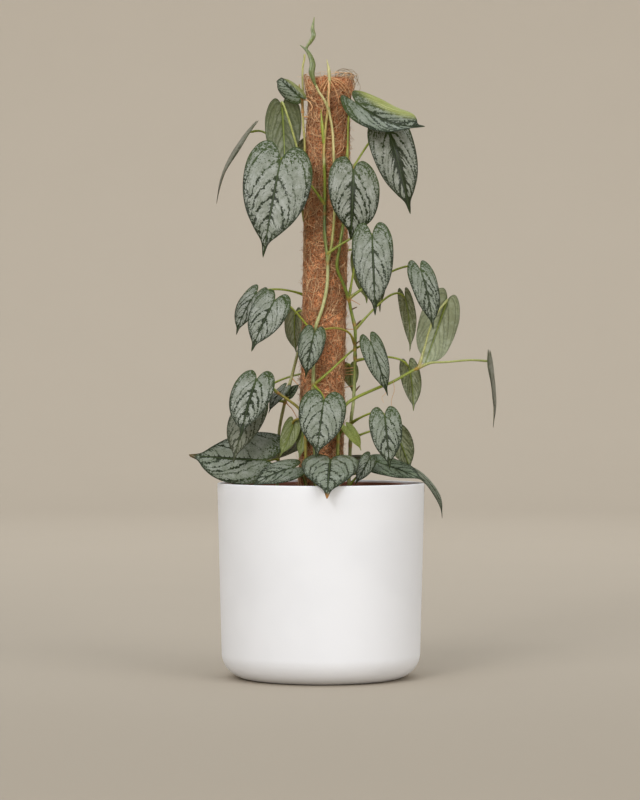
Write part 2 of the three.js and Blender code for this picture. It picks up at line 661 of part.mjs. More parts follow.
const soilBottom = growFloor + gap;
const soilFootRadius = growFootRadius - growWall - 2 * gap;
const growTaper = (growBodyRadius - growFootRadius) / (collarBottom - growBottom);
const soilEdgeRadius = soilFootRadius + growTaper * (soilEdgeHeight - soilBottom);
const soilProfile = [
  [0, soilBottom],
  [soilFootRadius, soilBottom],
  [soilEdgeRadius, soilEdgeHeight],
  [0.6 * soilEdgeRadius, soilEdgeHeight + 0.6 * soilMound],
  [0, soilEdgeHeight + soilMound],
];
let soil = toSolid(turned(soilProfile, soilSides));
const poleHoleProfile = [
  [0, poleBottom - gap],
  [poleRadius + holeRoom, poleBottom - gap],
  [poleRadius + holeRoom, potHeight],
  [0, potHeight],
];
soil = soil.subtract(toSolid(leaning(turned(poleHoleProfile, poleSides))));
Object.entries(stemShapes).forEach(([name, shape]) => {
  if (name !== "stem_crown") {
    const foot = new THREE.Vector3(shape.points[0][0], shape.points[0][1], stemFoot - gap);
    const buried = stemPaths[name].filter((point) => point.z < potHeight).slice(1);
    const path = [foot, ...buried];
    soil = soil.subtract(toSolid(tube(path, path.map(() => shape.radius + holeRoom), stemSides)));
  }
});
add("soil", toGeometry(soil), earth);

export default plant;
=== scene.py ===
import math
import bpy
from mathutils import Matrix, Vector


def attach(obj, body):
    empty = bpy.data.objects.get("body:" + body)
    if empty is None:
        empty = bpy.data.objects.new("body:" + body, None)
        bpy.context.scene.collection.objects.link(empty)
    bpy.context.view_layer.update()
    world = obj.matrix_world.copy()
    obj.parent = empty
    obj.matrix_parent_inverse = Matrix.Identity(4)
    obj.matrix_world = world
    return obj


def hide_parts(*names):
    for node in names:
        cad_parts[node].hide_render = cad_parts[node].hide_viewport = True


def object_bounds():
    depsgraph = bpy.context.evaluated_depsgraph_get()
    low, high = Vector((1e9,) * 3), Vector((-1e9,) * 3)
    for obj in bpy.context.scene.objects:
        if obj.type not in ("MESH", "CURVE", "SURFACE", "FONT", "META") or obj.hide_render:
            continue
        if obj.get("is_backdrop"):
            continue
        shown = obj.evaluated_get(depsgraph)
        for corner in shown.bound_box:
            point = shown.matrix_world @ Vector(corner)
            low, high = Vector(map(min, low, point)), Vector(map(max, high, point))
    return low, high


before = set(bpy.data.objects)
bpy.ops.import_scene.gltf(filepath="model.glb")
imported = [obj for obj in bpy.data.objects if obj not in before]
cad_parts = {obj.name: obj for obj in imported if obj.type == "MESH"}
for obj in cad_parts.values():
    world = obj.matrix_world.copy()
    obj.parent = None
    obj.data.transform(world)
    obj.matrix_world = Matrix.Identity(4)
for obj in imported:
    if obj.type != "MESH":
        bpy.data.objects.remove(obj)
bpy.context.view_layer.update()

# The looks of a silver leaf philodendron on its coir pole: fine leaves, stems, coir, soil and pots in place
# of the plain solids. Shapes are worked out in millimetres, as in the solids' source, and scaled to metres
# when a mesh is made.

from types import SimpleNamespace

import bpy
import numpy as np
from mathutils import Vector, noise

rng = np.random.default_rng(11)
MM = 0.001

# Shapes shared with the solids

POT_HEIGHT = 205.5
POT_RIM_RADIUS = 109.5
POT_LOW_RADIUS = 105
POT_FOOT_RADIUS = 78
POT_WALL = 3
POT_RIM_ROUND = 1.2
GROW_RIM_HEIGHT = 203.5
GROW_RIM_RADIUS = 99
GROW_COLLAR_HEIGHT = 17
GROW_BODY_RADIUS = 95
GROW_FOOT_RADIUS = 72
GROW_WALL = 1.5
GROW_EDGE = 0.5
DRAIN_HOLE_RADIUS = 6
DRAIN_HOLE_CIRCLE = 50
DRAIN_HOLE_COUNT = 6
SOIL_EDGE_HEIGHT = 183
SOIL_MOUND = 4
POLE_BOTTOM = 33
POLE_LENGTH = 600
POLE_TOP = POLE_BOTTOM + POLE_LENGTH
POLE_RADIUS = 22.4
POLE_WAIST_RADIUS = 20.8
POLE_WAIST_HEIGHT = 602
POLE_WAIST_HALF = 5
POLE_WAIST_REACH = 20
POLE_HEAD_RADIUS = 25
POLE_TOP_ROUND = 6
POLE_LEAN = 0.022
POLE_CROSS_HEIGHT = 230
STAKE_RADIUS = 8
STAKE_COVER = 12
BLADE_THICKNESS = 0.8
PETIOLE_SHEATH_RADIUS = 1.9
PETIOLE_RADIUS = 1.15
PETIOLE_BOW = 0.12
STEM_FOOT = 152
GAP = 0.35

# How finely the shapes are divided, and how many small things there are

SHARP_ANGLE = 55
SPLINE_STEPS = 14
TUBE_END_REACH = 0.35
TUBE_END_SHARE = 0.45
STEM_FINENESS = 7
STEM_SIDES = 12
PETIOLE_STEPS = 36
PETIOLE_SIDES = 9
TWIG_STEPS = 16
ROOT_SIDES = 7
ROLL_ROWS = 48
ROLL_COLUMNS = 22
SLEEVE_ROWS = 296
SLEEVE_SIDES = 120
THREAD_STEPS = 7
THREAD_SIDES = 3
FIBRE_COUNT = 4600
WHISKER_COUNT = 1700
TUFT_COUNT = 420
CURL_COUNT = 16
CURL_POINTS = 22
CRUMB_COUNT = 1500
SOIL_SIDES = 132
SOIL_ROWS = 56
POT_SIDES = 192
GROW_POT_SIDES = 145
DRILL_SIDES = 23
STAGE_SIDES = 96

# The climbing stems, as in the solids. The crown is a branch of the front stem.

STEMS = {
    "stem_front": dict(radius=2, taper=0.3, steps=26, points=[
        [-6, -27, 176], [-6, -27, 220], [-7, -26, 262], [-8, -25, 301], [-8, -25, 322], [-7, -26, 351],
        [-5, -26, 371], [1, -26, 388], [6, -26, 410], [7, -26, 438], [4, -26, 466], [4, -26, 497],
        [4, -26, 526], [3, -26, 551], [4, -26, 572], [8, -26, 602]]),
    "stem_crown": dict(radius=1.5, taper=0.1, steps=13, points=[
        [7, -26, 436], [11, -27, 455], [14, -27, 486], [15, -27, 518], [13.5, -27, 546], [12, -27, 576],
        [8, -26, 600], [8, -26, 613], [9, -26, 630]]),
    "stem_right": dict(radius=1.8, taper=0.1, steps=24, points=[
        [28, -12, 176], [30, -12, 219], [31, -12, 251], [32, -13, 274], [34, -11, 289], [35, -9, 304],
        [36, -8, 332], [36, -8, 349], [36, -8, 368], [32, -9, 386], [29, -13, 400], [23, -19, 416],
        [17, -23, 432], [20, -22, 456], [24, -18, 482], [27, -16, 509], [28, -17, 530], [27, -18, 544]]),
    "stem_branch": dict(radius=1.8, taper=0.2, steps=18, points=[
        [16, -34, 176], [17, -34, 220], [18, -33, 251], [20, -32, 277], [27, -30, 289], [36, -27, 295],
        [58, -22, 305], [75, -18, 312], [95, -10, 323], [103, -8, 327]]),
    "stem_left": dict(radius=1.7, taper=0.4, steps=34, points=[
        [-47, -5, 176], [-45, -5, 230], [-44, -5, 261], [-38, -5, 291], [-36, -5, 299], [-31, -4, 317],
        [-27, 3, 333], [-24, 14, 345], [-19, 25, 362], [-15, 28, 400], [-12, 29, 432], [-14, 28, 464],
        [-19, 20, 490], [-21, 5, 516], [-18, -8, 541], [-17, -10, 561], [-19, -8, 588], [-19, -6, 613],
        [-19, -4, 646], [-16, -4, 658]]),
    "stem_low": dict(radius=1.6, taper=0.1, steps=12, points=[
        [-16, -42, 176], [-16, -41, 220], [-16, -40, 251], [-17, -37, 272], [-23, -34, 284],
        [-37, -32, 295], [-46, -30, 301]]),
    "stem_back": dict(radius=2.3, taper=0.3, steps=18, points=[
        [3, 28, 176], [2, 27, 218], [2, 27, 261], [3, 27, 304], [5, 27, 347], [7, 27, 400],
        [7, 27, 454], [8, 27, 507], [9, 27, 550], [10, 27, 590]]),
}
STEM_OF_SHAPE = {"stem_crown": "stem_front"}


def leaf(stem, start, base, tip, face, half, **extra):
    """The stem and the place where the petiole leaves it, the blade's base and tip, the way its upper face
    looks, and half its width. The petiole passes the places in `via`, and the rest shapes the blade."""
    return dict(stem="stem_" + stem, start=start, base=base, tip=tip, face=face, half=half, **extra)


# The leaves by their numbers in the solids
LEAVES = {
    1: leaf("left", [-21, 5, 516], [-76.5, 12, 578], [-111, 16, 502], [-0.97, -0.12, 0.2], 26),
    2: leaf("left", [-18, -8, 541], [-41, -4, 603], [-38, -9, 534], [0.1, 1, 0.2], 20, slip=[0.12, 0]),
    3: leaf("left", [-19, -7, 596], [-22, -17, 611], [-44, -14, 631], [-0.2, -0.95, 0.2], 11.5, fold=18,
            cup=0.6, full=[0.3, 0.3], sides=[1.05, 0.7], slip=[0.1, 0]),
    4: leaf("front", [4, -26, 490], [-42, -44, 543], [-60, -62, 440], [0, -0.97, 0.25], 36, full=[1, 0.9],
            sides=[1.03, 1], slip=[0.03, -0.03]),
    5: leaf("right", [27, -18, 540], [36, -28, 605], [108, -52, 577], [0.1, -0.75, 0.65], 27, arch=-0.14,
            fold=22, full=[0.8, 0.85], sides=[0.92, 1], slip=[0.2, 0]),
    6: leaf("right", [27, -17, 532], [71, -14, 578], [94, -20, 488], [0.1, -0.98, 0.2], 23, sides=[1, 1.1]),
    7: leaf("right", [26, -17, 500], [34, -40, 534], [31, -37, 460], [0.05, -0.97, 0.25], 26.5,
            sides=[1.08, 1], slip=[0.16, 0]),
    8: leaf("front", [7, -26, 438], [53, -50, 464], [56, -66, 380], [0, -0.97, 0.25], 22),
    9: leaf("right", [29, -12, 400], [44, 31, 448], [49, 28, 396], [0.2, 0.95, 0.2], 14),
    10: leaf("left", [-15, 28, 400], [-68, 8, 407], [-89.5, 2, 362], [-0.6, -0.7, 0.3], 17.5),
    11: leaf("front", [-7, -26, 362], [-48, -44, 397], [-72, -60, 343], [-0.15, -0.95, 0.3], 20),
    12: leaf("left", [-15, 28, 396], [-28, 36, 385], [-26, 33, 343], [-0.5, 0.8, 0.2], 13, sides=[1, 0.8]),
    13: leaf("right", [36, -8, 349], [-7, -34, 363], [-16, -42, 316], [-0.1, -0.95, 0.3], 15,
             via=[[30, -20, 363], [18, -29, 368], [4, -31, 367]], sides=[0.92, 1]),
    14: leaf("right", [29, -13, 401], [104, -28, 430], [117, -42, 366], [0.3, -0.9, 0.25], 16,
             sides=[0.95, 1], slip=[0.06, 0]),
    15: leaf("right", [36, -8, 374], [89, 2, 402], [94, 2, 344], [0.6, 0.75, 0.1], 10.5),
    16: leaf("branch", [103, -8, 327], [135, 28, 400], [111, 24, 331], [0.1, 1, 0.1], 25,
             via=[[109, -6, 347], [115, 0, 368], [123, 12, 385]], full=[0.5, 0.5], sides=[0.9, 0.82],
             slip=[0.08, 0.2]),
    17: leaf("right", [36, -8, 340], [93, 5, 329], [98, 5, 281], [0.5, 0.85, 0.1], 12.5),
    18: leaf("branch", [101, -8, 326], [178, -16, 334], [181, -18, 264], [0.98, -0.15, 0.1], 24,
             via=[[115, -9, 332], [132, -12, 333], [158, -15, 335]], arch=0.03),
    19: leaf("front", [-8, -25, 303], [52, -25, 354], [70, -32, 297], [0.1, -0.95, 0.3], 12.5,
             via=[[8, -29, 322], [24, -20, 337], [36, -1, 347]], sides=[1, 1.06]),
    20: leaf("front", [-8, -25, 312], [3, -48, 293], [-5, -68, 233], [0, -0.97, 0.25], 25),
    21: leaf("right", [31, -12, 262], [66, -52, 277], [71, -66, 221], [0.05, -0.97, 0.25], 17.5),
    22: leaf("right", [31, -12, 248], [79, -10, 259], [95, -8, 218], [0.2, 0.9, 0.2], 14),
    23: leaf("low", [-46, -30, 301], [-67, -40, 315], [-83, -62, 254], [-0.2, -0.93, 0.3], 22,
             sides=[1, 1.04], slip=[0, 0.08]),
    24: leaf("left", [-38, -5, 291], [-72, -22, 287], [-91, -54, 227], [-0.3, -0.9, 0.3], 20),
    25: leaf("left", [-33, -5, 309], [-38, -16, 306], [-55, -20, 279], [-0.4, -0.5, 0.77], 10),
    26: leaf("low", [-17, -37, 270], [-29, -28, 268], [-43, -36, 234], [0.4, 0.9, 0.2], 10),
    27: leaf("low", [-16, -40, 256], [-19, -29, 264], [-23, -32, 231], [0.3, 0.9, 0.2], 7),
    28: leaf("left", [-45, -5, 225], [-58, -26, 230], [-138, -36, 236], [-0.1, -0.86, 0.5], 29,
             full=[0.65, 1], sides=[1.02, 1.22], slip=[0.12, -0.15], arch=-0.03),
    29: leaf("low", [-16, -41, 212], [-27, -50, 223], [-73, -62, 202], [0, -0.6, 0.8], 18),
    30: leaf("branch", [17, -34, 214], [10, -62, 232], [6, -128, 193], [0, -0.5, 0.86], 30),
    31: leaf("right", [30, -12, 216], [51, -48, 233], [35, -62, 205], [0.2, -0.9, 0.4], 9),
    32: leaf("right", [29, -12, 205], [57, -22, 228], [109, -45, 208.5], [0.1, -0.5, 0.85], 20, arch=0.02),
    33: leaf("back", [2, 27, 205], [103, 5, 216], [128, -5, 168], [0.85, -0.3, 0.4], 14, arch=0.12),
    34: leaf("branch", [18, -33, 251], [27, -34, 265], [42, -40, 240], [0.5, -0.8, 0.3], 8),
    35: leaf("back", [3, 27, 310], [31, 28, 329], [33, 28, 302], [0.1, 0.95, 0.2], 9),
    36: leaf("back", [9, 27, 545], [-6, 52, 563], [-22, 74, 496], [-0.1, 0.9, 0.4], 24),
    37: leaf("back", [8, 27, 507], [32, 46, 529], [39, 66, 462], [0.3, 0.9, 0.3], 22),
    38: leaf("back", [7, 27, 430], [10, 52, 449], [0, 68, 397], [-0.1, 0.95, 0.3], 18),
    39: leaf("back", [5, 27, 355], [6, 50, 379], [10, 70, 324], [0.1, 0.95, 0.35], 18),
    40: leaf("back", [3, 27, 295], [6, 54, 314], [7, 80, 252], [0, 0.9, 0.4], 19),
    41: leaf("back", [2, 27, 228], [-25, 52, 250], [-66, 88, 219], [-0.3, 0.6, 0.7], 21),
    42: leaf("back", [2, 27, 212], [31, 52, 231], [73, 88, 216], [0.3, 0.5, 0.8], 20),
    43: leaf("back", [2, 27, 196], [-2, 50, 224], [-1, 108, 219], [0, 0.4, 0.9], 19),
    44: leaf("back", [7, 27, 440], [47, 54, 452], [64, 70, 388], [0.7, 0.65, 0.25], 19),
    45: leaf("back", [3, 27, 330], [-64, 54, 304], [-76, 68, 252], [-0.65, 0.7, 0.3], 17),
    46: leaf("back", [9, 27, 520], [-48, 54, 527], [-60, 70, 468], [-0.6, 0.75, 0.3], 20),
    47: leaf("left", [-37, -5, 295], [-33, -13, 298], [-22, -16, 310], [-0.3, -0.9, 0.3], 5.5, fold=25),
}

# One half of a heart shaped blade, finer than in the solids: the place on the midrib, the place on the edge
# along and across the blade, and how many rows of faces reach it
BLADE_KNOTS = [
    (0, 0, 0, 0), (0.02, -0.10, 0.13, 3), (0.06, -0.17, 0.37, 4), (0.11, -0.13, 0.70, 5),
    (0.19, 0.02, 0.95, 5), (0.32, 0.21, 1, 5), (0.47, 0.42, 0.91, 5), (0.62, 0.60, 0.69, 5),
    (0.76, 0.75, 0.36, 5), (0.83, 0.82, 0.175, 3), (0.88, 0.87, 0.085, 3), (0.94, 0.935, 0.042, 3),
    (0.975, 0.972, 0.022, 2), (1, 1, 0, 2),
]
WIDEST_KNOT = 5
USUAL_FULLNESS = [0.85, 0.85]
USUAL_ARCH = 0.07
USUAL_FOLD = 12
USUAL_CUP = 0.25
MIDDLING_HALF = 28
EDGE_THICKNESS = 0.13
MIDDLE_THICKENING = 0.07
VEIN_SWELL = 0.02
VEIN_BEND = 0.74
VEIN_STRIDE = 0.2
LOBE_VEIN_STRIDE = 0.75
WIDEST_VEIN_SPACING = 40
SEED_STEP = 7.3
# How far out from the midrib to the edge each line of points runs
BLADE_SHARES = np.array([0, 0.035, 0.09, 0.16, 0.24, 0.33, 0.42, 0.51, 0.6, 0.69, 0.78, 0.86, 0.93, 0.975,
                         1])

# Colour of each leaf: `rib` widens the dark band on its midrib and `bold` its side veins, `green` takes
# silver away, `warm` turns the outer part of one half yellow green or, below nought, of the other half,
# `tip` browns its tip, `dull` greys it, `lime` turns all of it yellow green, and `dark` deepens its
# underside or, below nought, pales it. The paling of leaf 16 is painted light on a leaf in shade at the
# back.
TONES = {
    1: dict(dull=0.9, dark=0.4), 2: dict(dark=0.85), 3: dict(green=0.7, warm=-0.7),
    4: dict(rib=0.8, bold=0.8), 5: dict(green=0.5, warm=1, bold=1.9, rib=1.4),
    6: dict(rib=2.6, dull=0.15, bold=0.8), 7: dict(rib=1.7), 8: dict(green=0.1), 9: dict(lime=0.8, dark=0.4),
    12: dict(dark=-0.4), 13: dict(green=0.4, bold=0.8), 14: dict(green=0.3), 16: dict(dark=-0.6),
    18: dict(dull=0.8, dark=0.5), 19: dict(green=0.5), 20: dict(rib=0.7, bold=0.6, green=0.25),
    21: dict(green=0.4), 23: dict(rib=1.25), 24: dict(dull=0.8, green=0.6), 26: dict(lime=0.7),
    27: dict(lime=0.7), 28: dict(green=0.35, tip=0.25), 29: dict(green=0.5), 30: dict(green=0.45, tip=1),
    31: dict(green=0.4), 32: dict(green=1), 33: dict(green=0.6), 34: dict(lime=0.9), 35: dict(lime=0.7),
    47: dict(green=0.9),
}

SILVER_LOW = (132, 137, 125)
SILVER_HIGH = (154, 158, 150)
SILVER_SHADE = (110, 117, 102)
SILVER_LIGHT = (180, 182, 175)
SILVER_GREEN = (76, 86, 62)
VEIN_DARK = (17, 25, 9)
VEIN_LIGHT = (40, 51, 22)


def srgb(red, green, blue):
    """A colour given as it looks on a screen, from 0 to 255, as the shader's own numbers."""
    return tuple(((c / 255 + 0.055) / 1.055) ** 2.4 for c in (red, green, blue)) + (1,)


def unit(a):
    """The directions of one or more vectors."""
    return a / np.maximum(np.linalg.norm(a, axis=-1, keepdims=True), 1e-12)


def step(x, low, high):
    """0 below the low place, 1 above the high one, and smooth in between."""
    t = np.clip((x - low) / (high - low), 0, 1)
    return t * t * (3 - 2 * t)


# Paths

def travelled(path):
    """How far along a path each of its points is."""
    return np.concatenate([[0], np.cumsum(np.linalg.norm(np.diff(path, axis=0), axis=1))])


def nearest(path, place):
    """The number of the point of a path that is nearest to a place."""
    return np.linalg.norm(path - np.array(place, float), axis=1).argmin()


def spaced(path, count):
    """The same path with `count` steps of equal length."""
    at = travelled(path)
    wanted = np.linspace(0, at[-1], count + 1)
    return np.stack([np.interp(wanted, at, path[:, k]) for k in range(3)], axis=1)


def spline(points):
    """A smooth path through the points, on a centripetal curve."""
    p = np.array(points, float)
    p = np.vstack([2 * p[0] - p[1], p, 2 * p[-1] - p[-2]])
    d = np.maximum(np.linalg.norm(np.diff(p, axis=0), axis=1) ** 0.5, 1e-4)
    t = np.linspace(0, 1, SPLINE_STEPS, endpoint=False)[:, None]
    out = []
    for i in range(1, len(p) - 2):
        p0, p1, p2, p3 = p[i - 1:i + 3]
        d0, d1, d2 = d[i - 1:i + 2]
        a = ((p1 - p0) / d0 - (p2 - p0) / (d0 + d1) + (p2 - p1) / d1) * d1
        b = ((p2 - p1) / d1 - (p3 - p1) / (d1 + d2) + (p3 - p2) / d2) * d1
        out.append(p1 + a * t + (3 * p2 - 3 * p1 - 2 * a - b) * t ** 2 + (2 * p1 - 2 * p2 + a + b) * t ** 3)
    return np.vstack(out + [p[-2:-1]])


def pole_centre(height):
    """How far to the right the leaning pole's middle is at a height."""
    return (height - POLE_CROSS_HEIGHT) * POLE_LEAN


def pole_radius(height):
    low, high = POLE_WAIST_HEIGHT - POLE_WAIST_HALF, POLE_WAIST_HEIGHT + POLE_WAIST_HALF
    return np.interp(height, [low - POLE_WAIST_REACH, low, high, POLE_WAIST_HEIGHT + POLE_WAIST_REACH],
                     [POLE_RADIUS, POLE_WAIST_RADIUS, POLE_WAIST_RADIUS, POLE_HEAD_RADIUS])


def clear_of_pole(path, radius):
    """Pushes the points of a path out of the pole."""
    path = np.array(path, float)
    middle = pole_centre(path[:, 2])
    x = path[:, 0] - middle
    distance = np.maximum(np.hypot(x, path[:, 1]), 1e-9)
    least = np.where(path[:, 2] > POLE_WAIST_HEIGHT, POLE_HEAD_RADIUS, POLE_RADIUS) + radius + GAP
    push = np.maximum(least / distance, 1)
    return np.stack([middle + x * push, path[:, 1] * push, path[:, 2]], axis=1)


# Meshes. A part is its points, its blocks of faces, each block's material number and values at its points.

def part(points, faces, material=None, **values):
    return dict(points=np.asarray(points, float), faces=faces, material=material or [0] * len(faces),
                values=values)


def add_mesh(name, points, faces):
    mesh = bpy.data.meshes.new(name)
    mesh.from_pydata(points.tolist(), [], faces)
    return mesh


def add_object(name, data):
    made = bpy.data.objects.new(name, data)
    bpy.context.scene.collection.objects.link(made)
    return made


def make(name, parts, materials, nodes=(), sharp=SHARP_ANGLE):
    """A piece in the frame, in place of the nodes. Edges sharper than `sharp` degrees stay hard."""
    faces = []
    numbers = []
    start = 0
    for p in parts:
        for k, block in enumerate(p["faces"]):
            rows = (np.asarray(block) + start).tolist()
            faces.extend(rows)
            numbers.extend([p["material"][k]] * len(rows))
        start += len(p["points"])
    mesh = add_mesh(name, np.vstack([p["points"] for p in parts]) * MM, faces)
    for key in parts[0]["values"]:
        values = np.vstack([np.broadcast_to(p["values"][key], (len(p["points"]), 3)) for p in parts])
        layer = mesh.attributes.new(key, "FLOAT_VECTOR", "POINT")
        layer.data.foreach_set("vector", values.astype(np.float32).ravel())
    mesh.polygons.foreach_set("material_index", numbers)
    for m in materials:
        mesh.materials.append(m)
    mesh.polygons.foreach_set("use_smooth", [True] * len(faces))
    mesh.set_sharp_from_angle(angle=math.radians(sharp))
    mesh.update()
    piece = add_object(name, mesh)
    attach(piece, "root")
    if nodes:
        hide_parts(*nodes)
    return piece


def circle(sides):
    """The angles of equal steps round a circle."""
    return np.linspace(0, math.tau, sides, endpoint=False)


def rings(count, sides, closed=True):
    """Quads between `count` rings of `sides` points each."""
    i, j = np.meshgrid(np.arange(count - 1), np.arange(sides if closed else sides - 1), indexing="ij")
    a = i * sides + j
    b = i * sides + (j + 1) % sides
    return np.stack([a, b, b + sides, a + sides], axis=-1).reshape(-1, 4)


def frames(path):
    """The direction of a path at each point, and two across it that turn as little as they can."""
    ahead = unit(np.vstack([path[1:], path[-1:]]) - np.vstack([path[:1], path[:-1]]))
    across = np.zeros_like(path)
    side = np.array([1.0, 0, 0])
    for i, along in enumerate(ahead):
        side = side - along * (side @ along)
        if np.linalg.norm(side) < 0.1:
            side = np.array([0, 1.0, 0]) - along * along[1]
        side = side / np.linalg.norm(side)
        across[i] = side
    return ahead, across, np.cross(ahead, across)


def around(across, up, angle):
    """The directions at the given angles round each point of a path."""
    return across[:, None] * np.cos(angle)[None, :, None] + up[:, None] * np.sin(angle)[None, :, None]


def tube(path, radii, sides, **values):
    """A closed tube along a path, rounded off at both ends."""
    path = np.asarray(path, float)
    radii = np.broadcast_to(radii, len(path)).astype(float)
    ahead, across, up = frames(path)
    path = np.vstack([path[:1], path, path[-1:]])
    path[0] -= ahead[0] * radii[0] * TUBE_END_REACH
    path[-1] += ahead[-1] * radii[-1] * TUBE_END_REACH
    radii = np.concatenate([[radii[0] * TUBE_END_SHARE], radii, [radii[-1] * TUBE_END_SHARE]])
    across = np.vstack([across[:1], across, across[-1:]])
    up = np.vstack([up[:1], up, up[-1:]])
    points = (path[:, None] + around(across, up, circle(sides)) * radii[:, None, None]).reshape(-1, 3)
    count = len(path)
    last = (count - 1) * sides
    caps = [np.arange(sides)[::-1][None], (last + np.arange(sides))[None]]
    spread = {k: np.repeat(np.vstack([v[:1], v, v[-1:]]), sides, axis=0) if np.ndim(v) == 2 else v
              for k, v in values.items()}
    return part(points, [rings(count, sides), *caps], **spread)


def scroll(path, radii, first, turns, tuck, thickness, **values):
    """A sheet rolled up along a path: it starts at the angle `first`, winds `turns` times, and each turn
    draws in by the share `tuck`."""
    path = np.asarray(path, float)
    ahead, across, up = frames(path)
    share = np.linspace(0, 1, ROLL_COLUMNS + 1)
    shrink = 1 - tuck * share * turns
    ring = around(across, up, first + share * turns * math.tau)
    shells = []
    for offset in (0.5, -0.5):
        reach = np.maximum(radii[:, None] * shrink[None], 0.08) + offset * thickness
        shells.append((path[:, None] + ring * reach[..., None]).reshape(-1, 3))
    count = len(path)
    width = ROLL_COLUMNS + 1
    quads = rings(count, width, closed=False)
    total = count * width
    edge = np.concatenate([np.arange(width), np.arange(1, count) * width + ROLL_COLUMNS,
                           (count - 1) * width + np.arange(ROLL_COLUMNS - 1, -1, -1),
                           np.arange(count - 2, 0, -1) * width])
    ahead_edge = np.roll(edge, -1)
    rim = np.stack([ahead_edge, edge, edge + total, ahead_edge + total], axis=1)
    return part(np.vstack(shells), [quads, quads[:, ::-1] + total, rim], **values)


def spun(profile, sides):
    """The [radius, height] points of a profile, as one ring each about the z axis."""
    radius, height = np.array(profile, float).T[..., None]
    angle = circle(sides)
    return np.stack([radius * np.cos(angle), radius * np.sin(angle), np.repeat(height, sides, axis=1)],
                    axis=-1).reshape(-1, 3)


def turned(profile, sides):
    """A solid of revolution about the z axis, from [radius, height] points that run up its outside and close
    on the axis at both ends."""
    points = np.vstack([spun(profile[1:-1], sides), [[0, 0, profile[0][1]], [0, 0, profile[-1][1]]]])
    count = len(profile) - 2
    j = np.arange(sides)
    k = (j + 1) % sides
    low = np.full(sides, len(points) - 2)
    high = np.full(sides, len(points) - 1)
    last = (count - 1) * sides
    return points, [rings(count, sides), np.stack([k, j, low], axis=1),
                    np.stack([last + j, last + k, high], axis=1)]


def arc(centre_radius, centre_height, radius, first, last, steps):
    """Points of a profile along an arc, from the angle `first` to `last` in degrees."""
    angle = np.radians(np.linspace(first, last, steps + 1))
    return [[centre_radius + radius * math.cos(a), centre_height + radius * math.sin(a)] for a in angle]


# Materials

class Graph:
    """The nodes of one material, and its colour so far. A plain colour is three numbers from 0 to 255, as it
    looks on a screen."""

    def __init__(self, name, **sockets):
        self.material = bpy.data.materials.new(name)
        self.material.use_nodes = True
        self.tree = self.material.node_tree
        self.shader = self.tree.nodes["Principled BSDF"]
        self.look = None
        for key, value in sockets.items():
            self.shader.inputs[key.replace("_", " ")].default_value = value

    def put(self, socket, value):
        if isinstance(value, bpy.types.NodeSocket):
            self.tree.links.new(value, socket)
        else:
            socket.default_value = value

    def node(self, kind, sockets=(), **settings):
        """A new node. Its sockets are filled by name or number from a dict, or in order from a list."""
        made = self.tree.nodes.new("ShaderNode" + kind)
        for key, value in settings.items():
            setattr(made, key, value)
        for key, value in sockets.items() if isinstance(sockets, dict) else enumerate(sockets):
            self.put(made.inputs[key], value)
        return made

    def value(self, name):
        return self.node("Attribute", attribute_name=name).outputs["Vector"]

    def split(self, vector):
        return tuple(self.node("SeparateXYZ", [vector]).outputs)

    def join(self, *parts):
        return self.node("CombineXYZ", parts).outputs[0]

    def math(self, operation, a, b=0, c=0):
        return self.node("Math", [a, b, c], operation=operation).outputs[0]

    def add(self, a, b):
        return self.math("ADD", a, b)

    def times(self, a, b):
        return self.math("MULTIPLY", a, b)

    def fit(self, a, scale, offset):
        return self.math("MULTIPLY_ADD", a, scale, offset)

    def most(self, first, *rest):
        for other in rest:
            first = self.math("MAXIMUM", first, other)
        return first

    def ramp(self, x, low, high, start=0, end=1):
        return self.node("MapRange", [x, low, high, start, end], interpolation_type="SMOOTHSTEP").outputs[0]

    def below(self, x, limit, soft):
        """1 where x is under the limit, 0 where it is over it, and smooth in between."""
        return self.ramp(self.math("SUBTRACT", x, limit), -soft, soft, 1, 0)

    def noise(self, vector, scale, detail=2, rough=0.5):
        sockets = dict(Vector=vector, Scale=scale, Detail=detail, Roughness=rough)
        return self.node("TexNoise", sockets).outputs[0]

    def chance(self, vector):
        return self.node("TexWhiteNoise", dict(Vector=vector)).outputs["Value"]

    def stretch(self, vector, x, y, z):
        return self.node("VectorMath", [vector, (x, y, z)], operation="MULTIPLY").outputs[0]

    def turn(self, vector, axis, angle):
        made = self.node("VectorRotate", dict(Vector=vector, Angle=angle), rotation_type=axis + "_AXIS")
        return made.outputs[0]

    def cells(self, vector, scale):
        outputs = self.node("TexVoronoi", dict(Vector=vector, Scale=scale)).outputs
        return outputs["Distance"], self.split(outputs["Color"])[0]

    def place(self):
        """The place on the piece, in millimetres."""
        return self.stretch(self.node("TexCoord").outputs["Object"], 1000, 1000, 1000)

    def mix(self, share, a, b):
        """Colour a with a share of colour b over it."""
        a, b = (srgb(*colour) if isinstance(colour, tuple) else colour for colour in (a, b))
        return self.node("Mix", {0: share, 6: a, 7: b}, data_type="RGBA").outputs[2]

    def tones(self, x, low, high, dark, light):
        """From a dark colour to a light one, as x goes from low to high."""
        return self.mix(self.ramp(x, low, high), dark, light)

    def cover(self, share, colour):
        """Lays a share of a colour over the look so far."""
        self.look = self.mix(share, self.look, colour)

    def done(self, rough, height=None, depth=0, strength=1):
        """The material, with the look, its roughness and a bump as deep as `depth` metres on its surface."""
        self.put(self.shader.inputs["Base Color"], self.look)
        self.put(self.shader.inputs["Roughness"], rough)
        if height is not None:
            bump = self.node("Bump", dict(Height=height, Distance=depth, Strength=strength))
            self.put(self.shader.inputs["Normal"], bump.outputs[0])
        return self.material


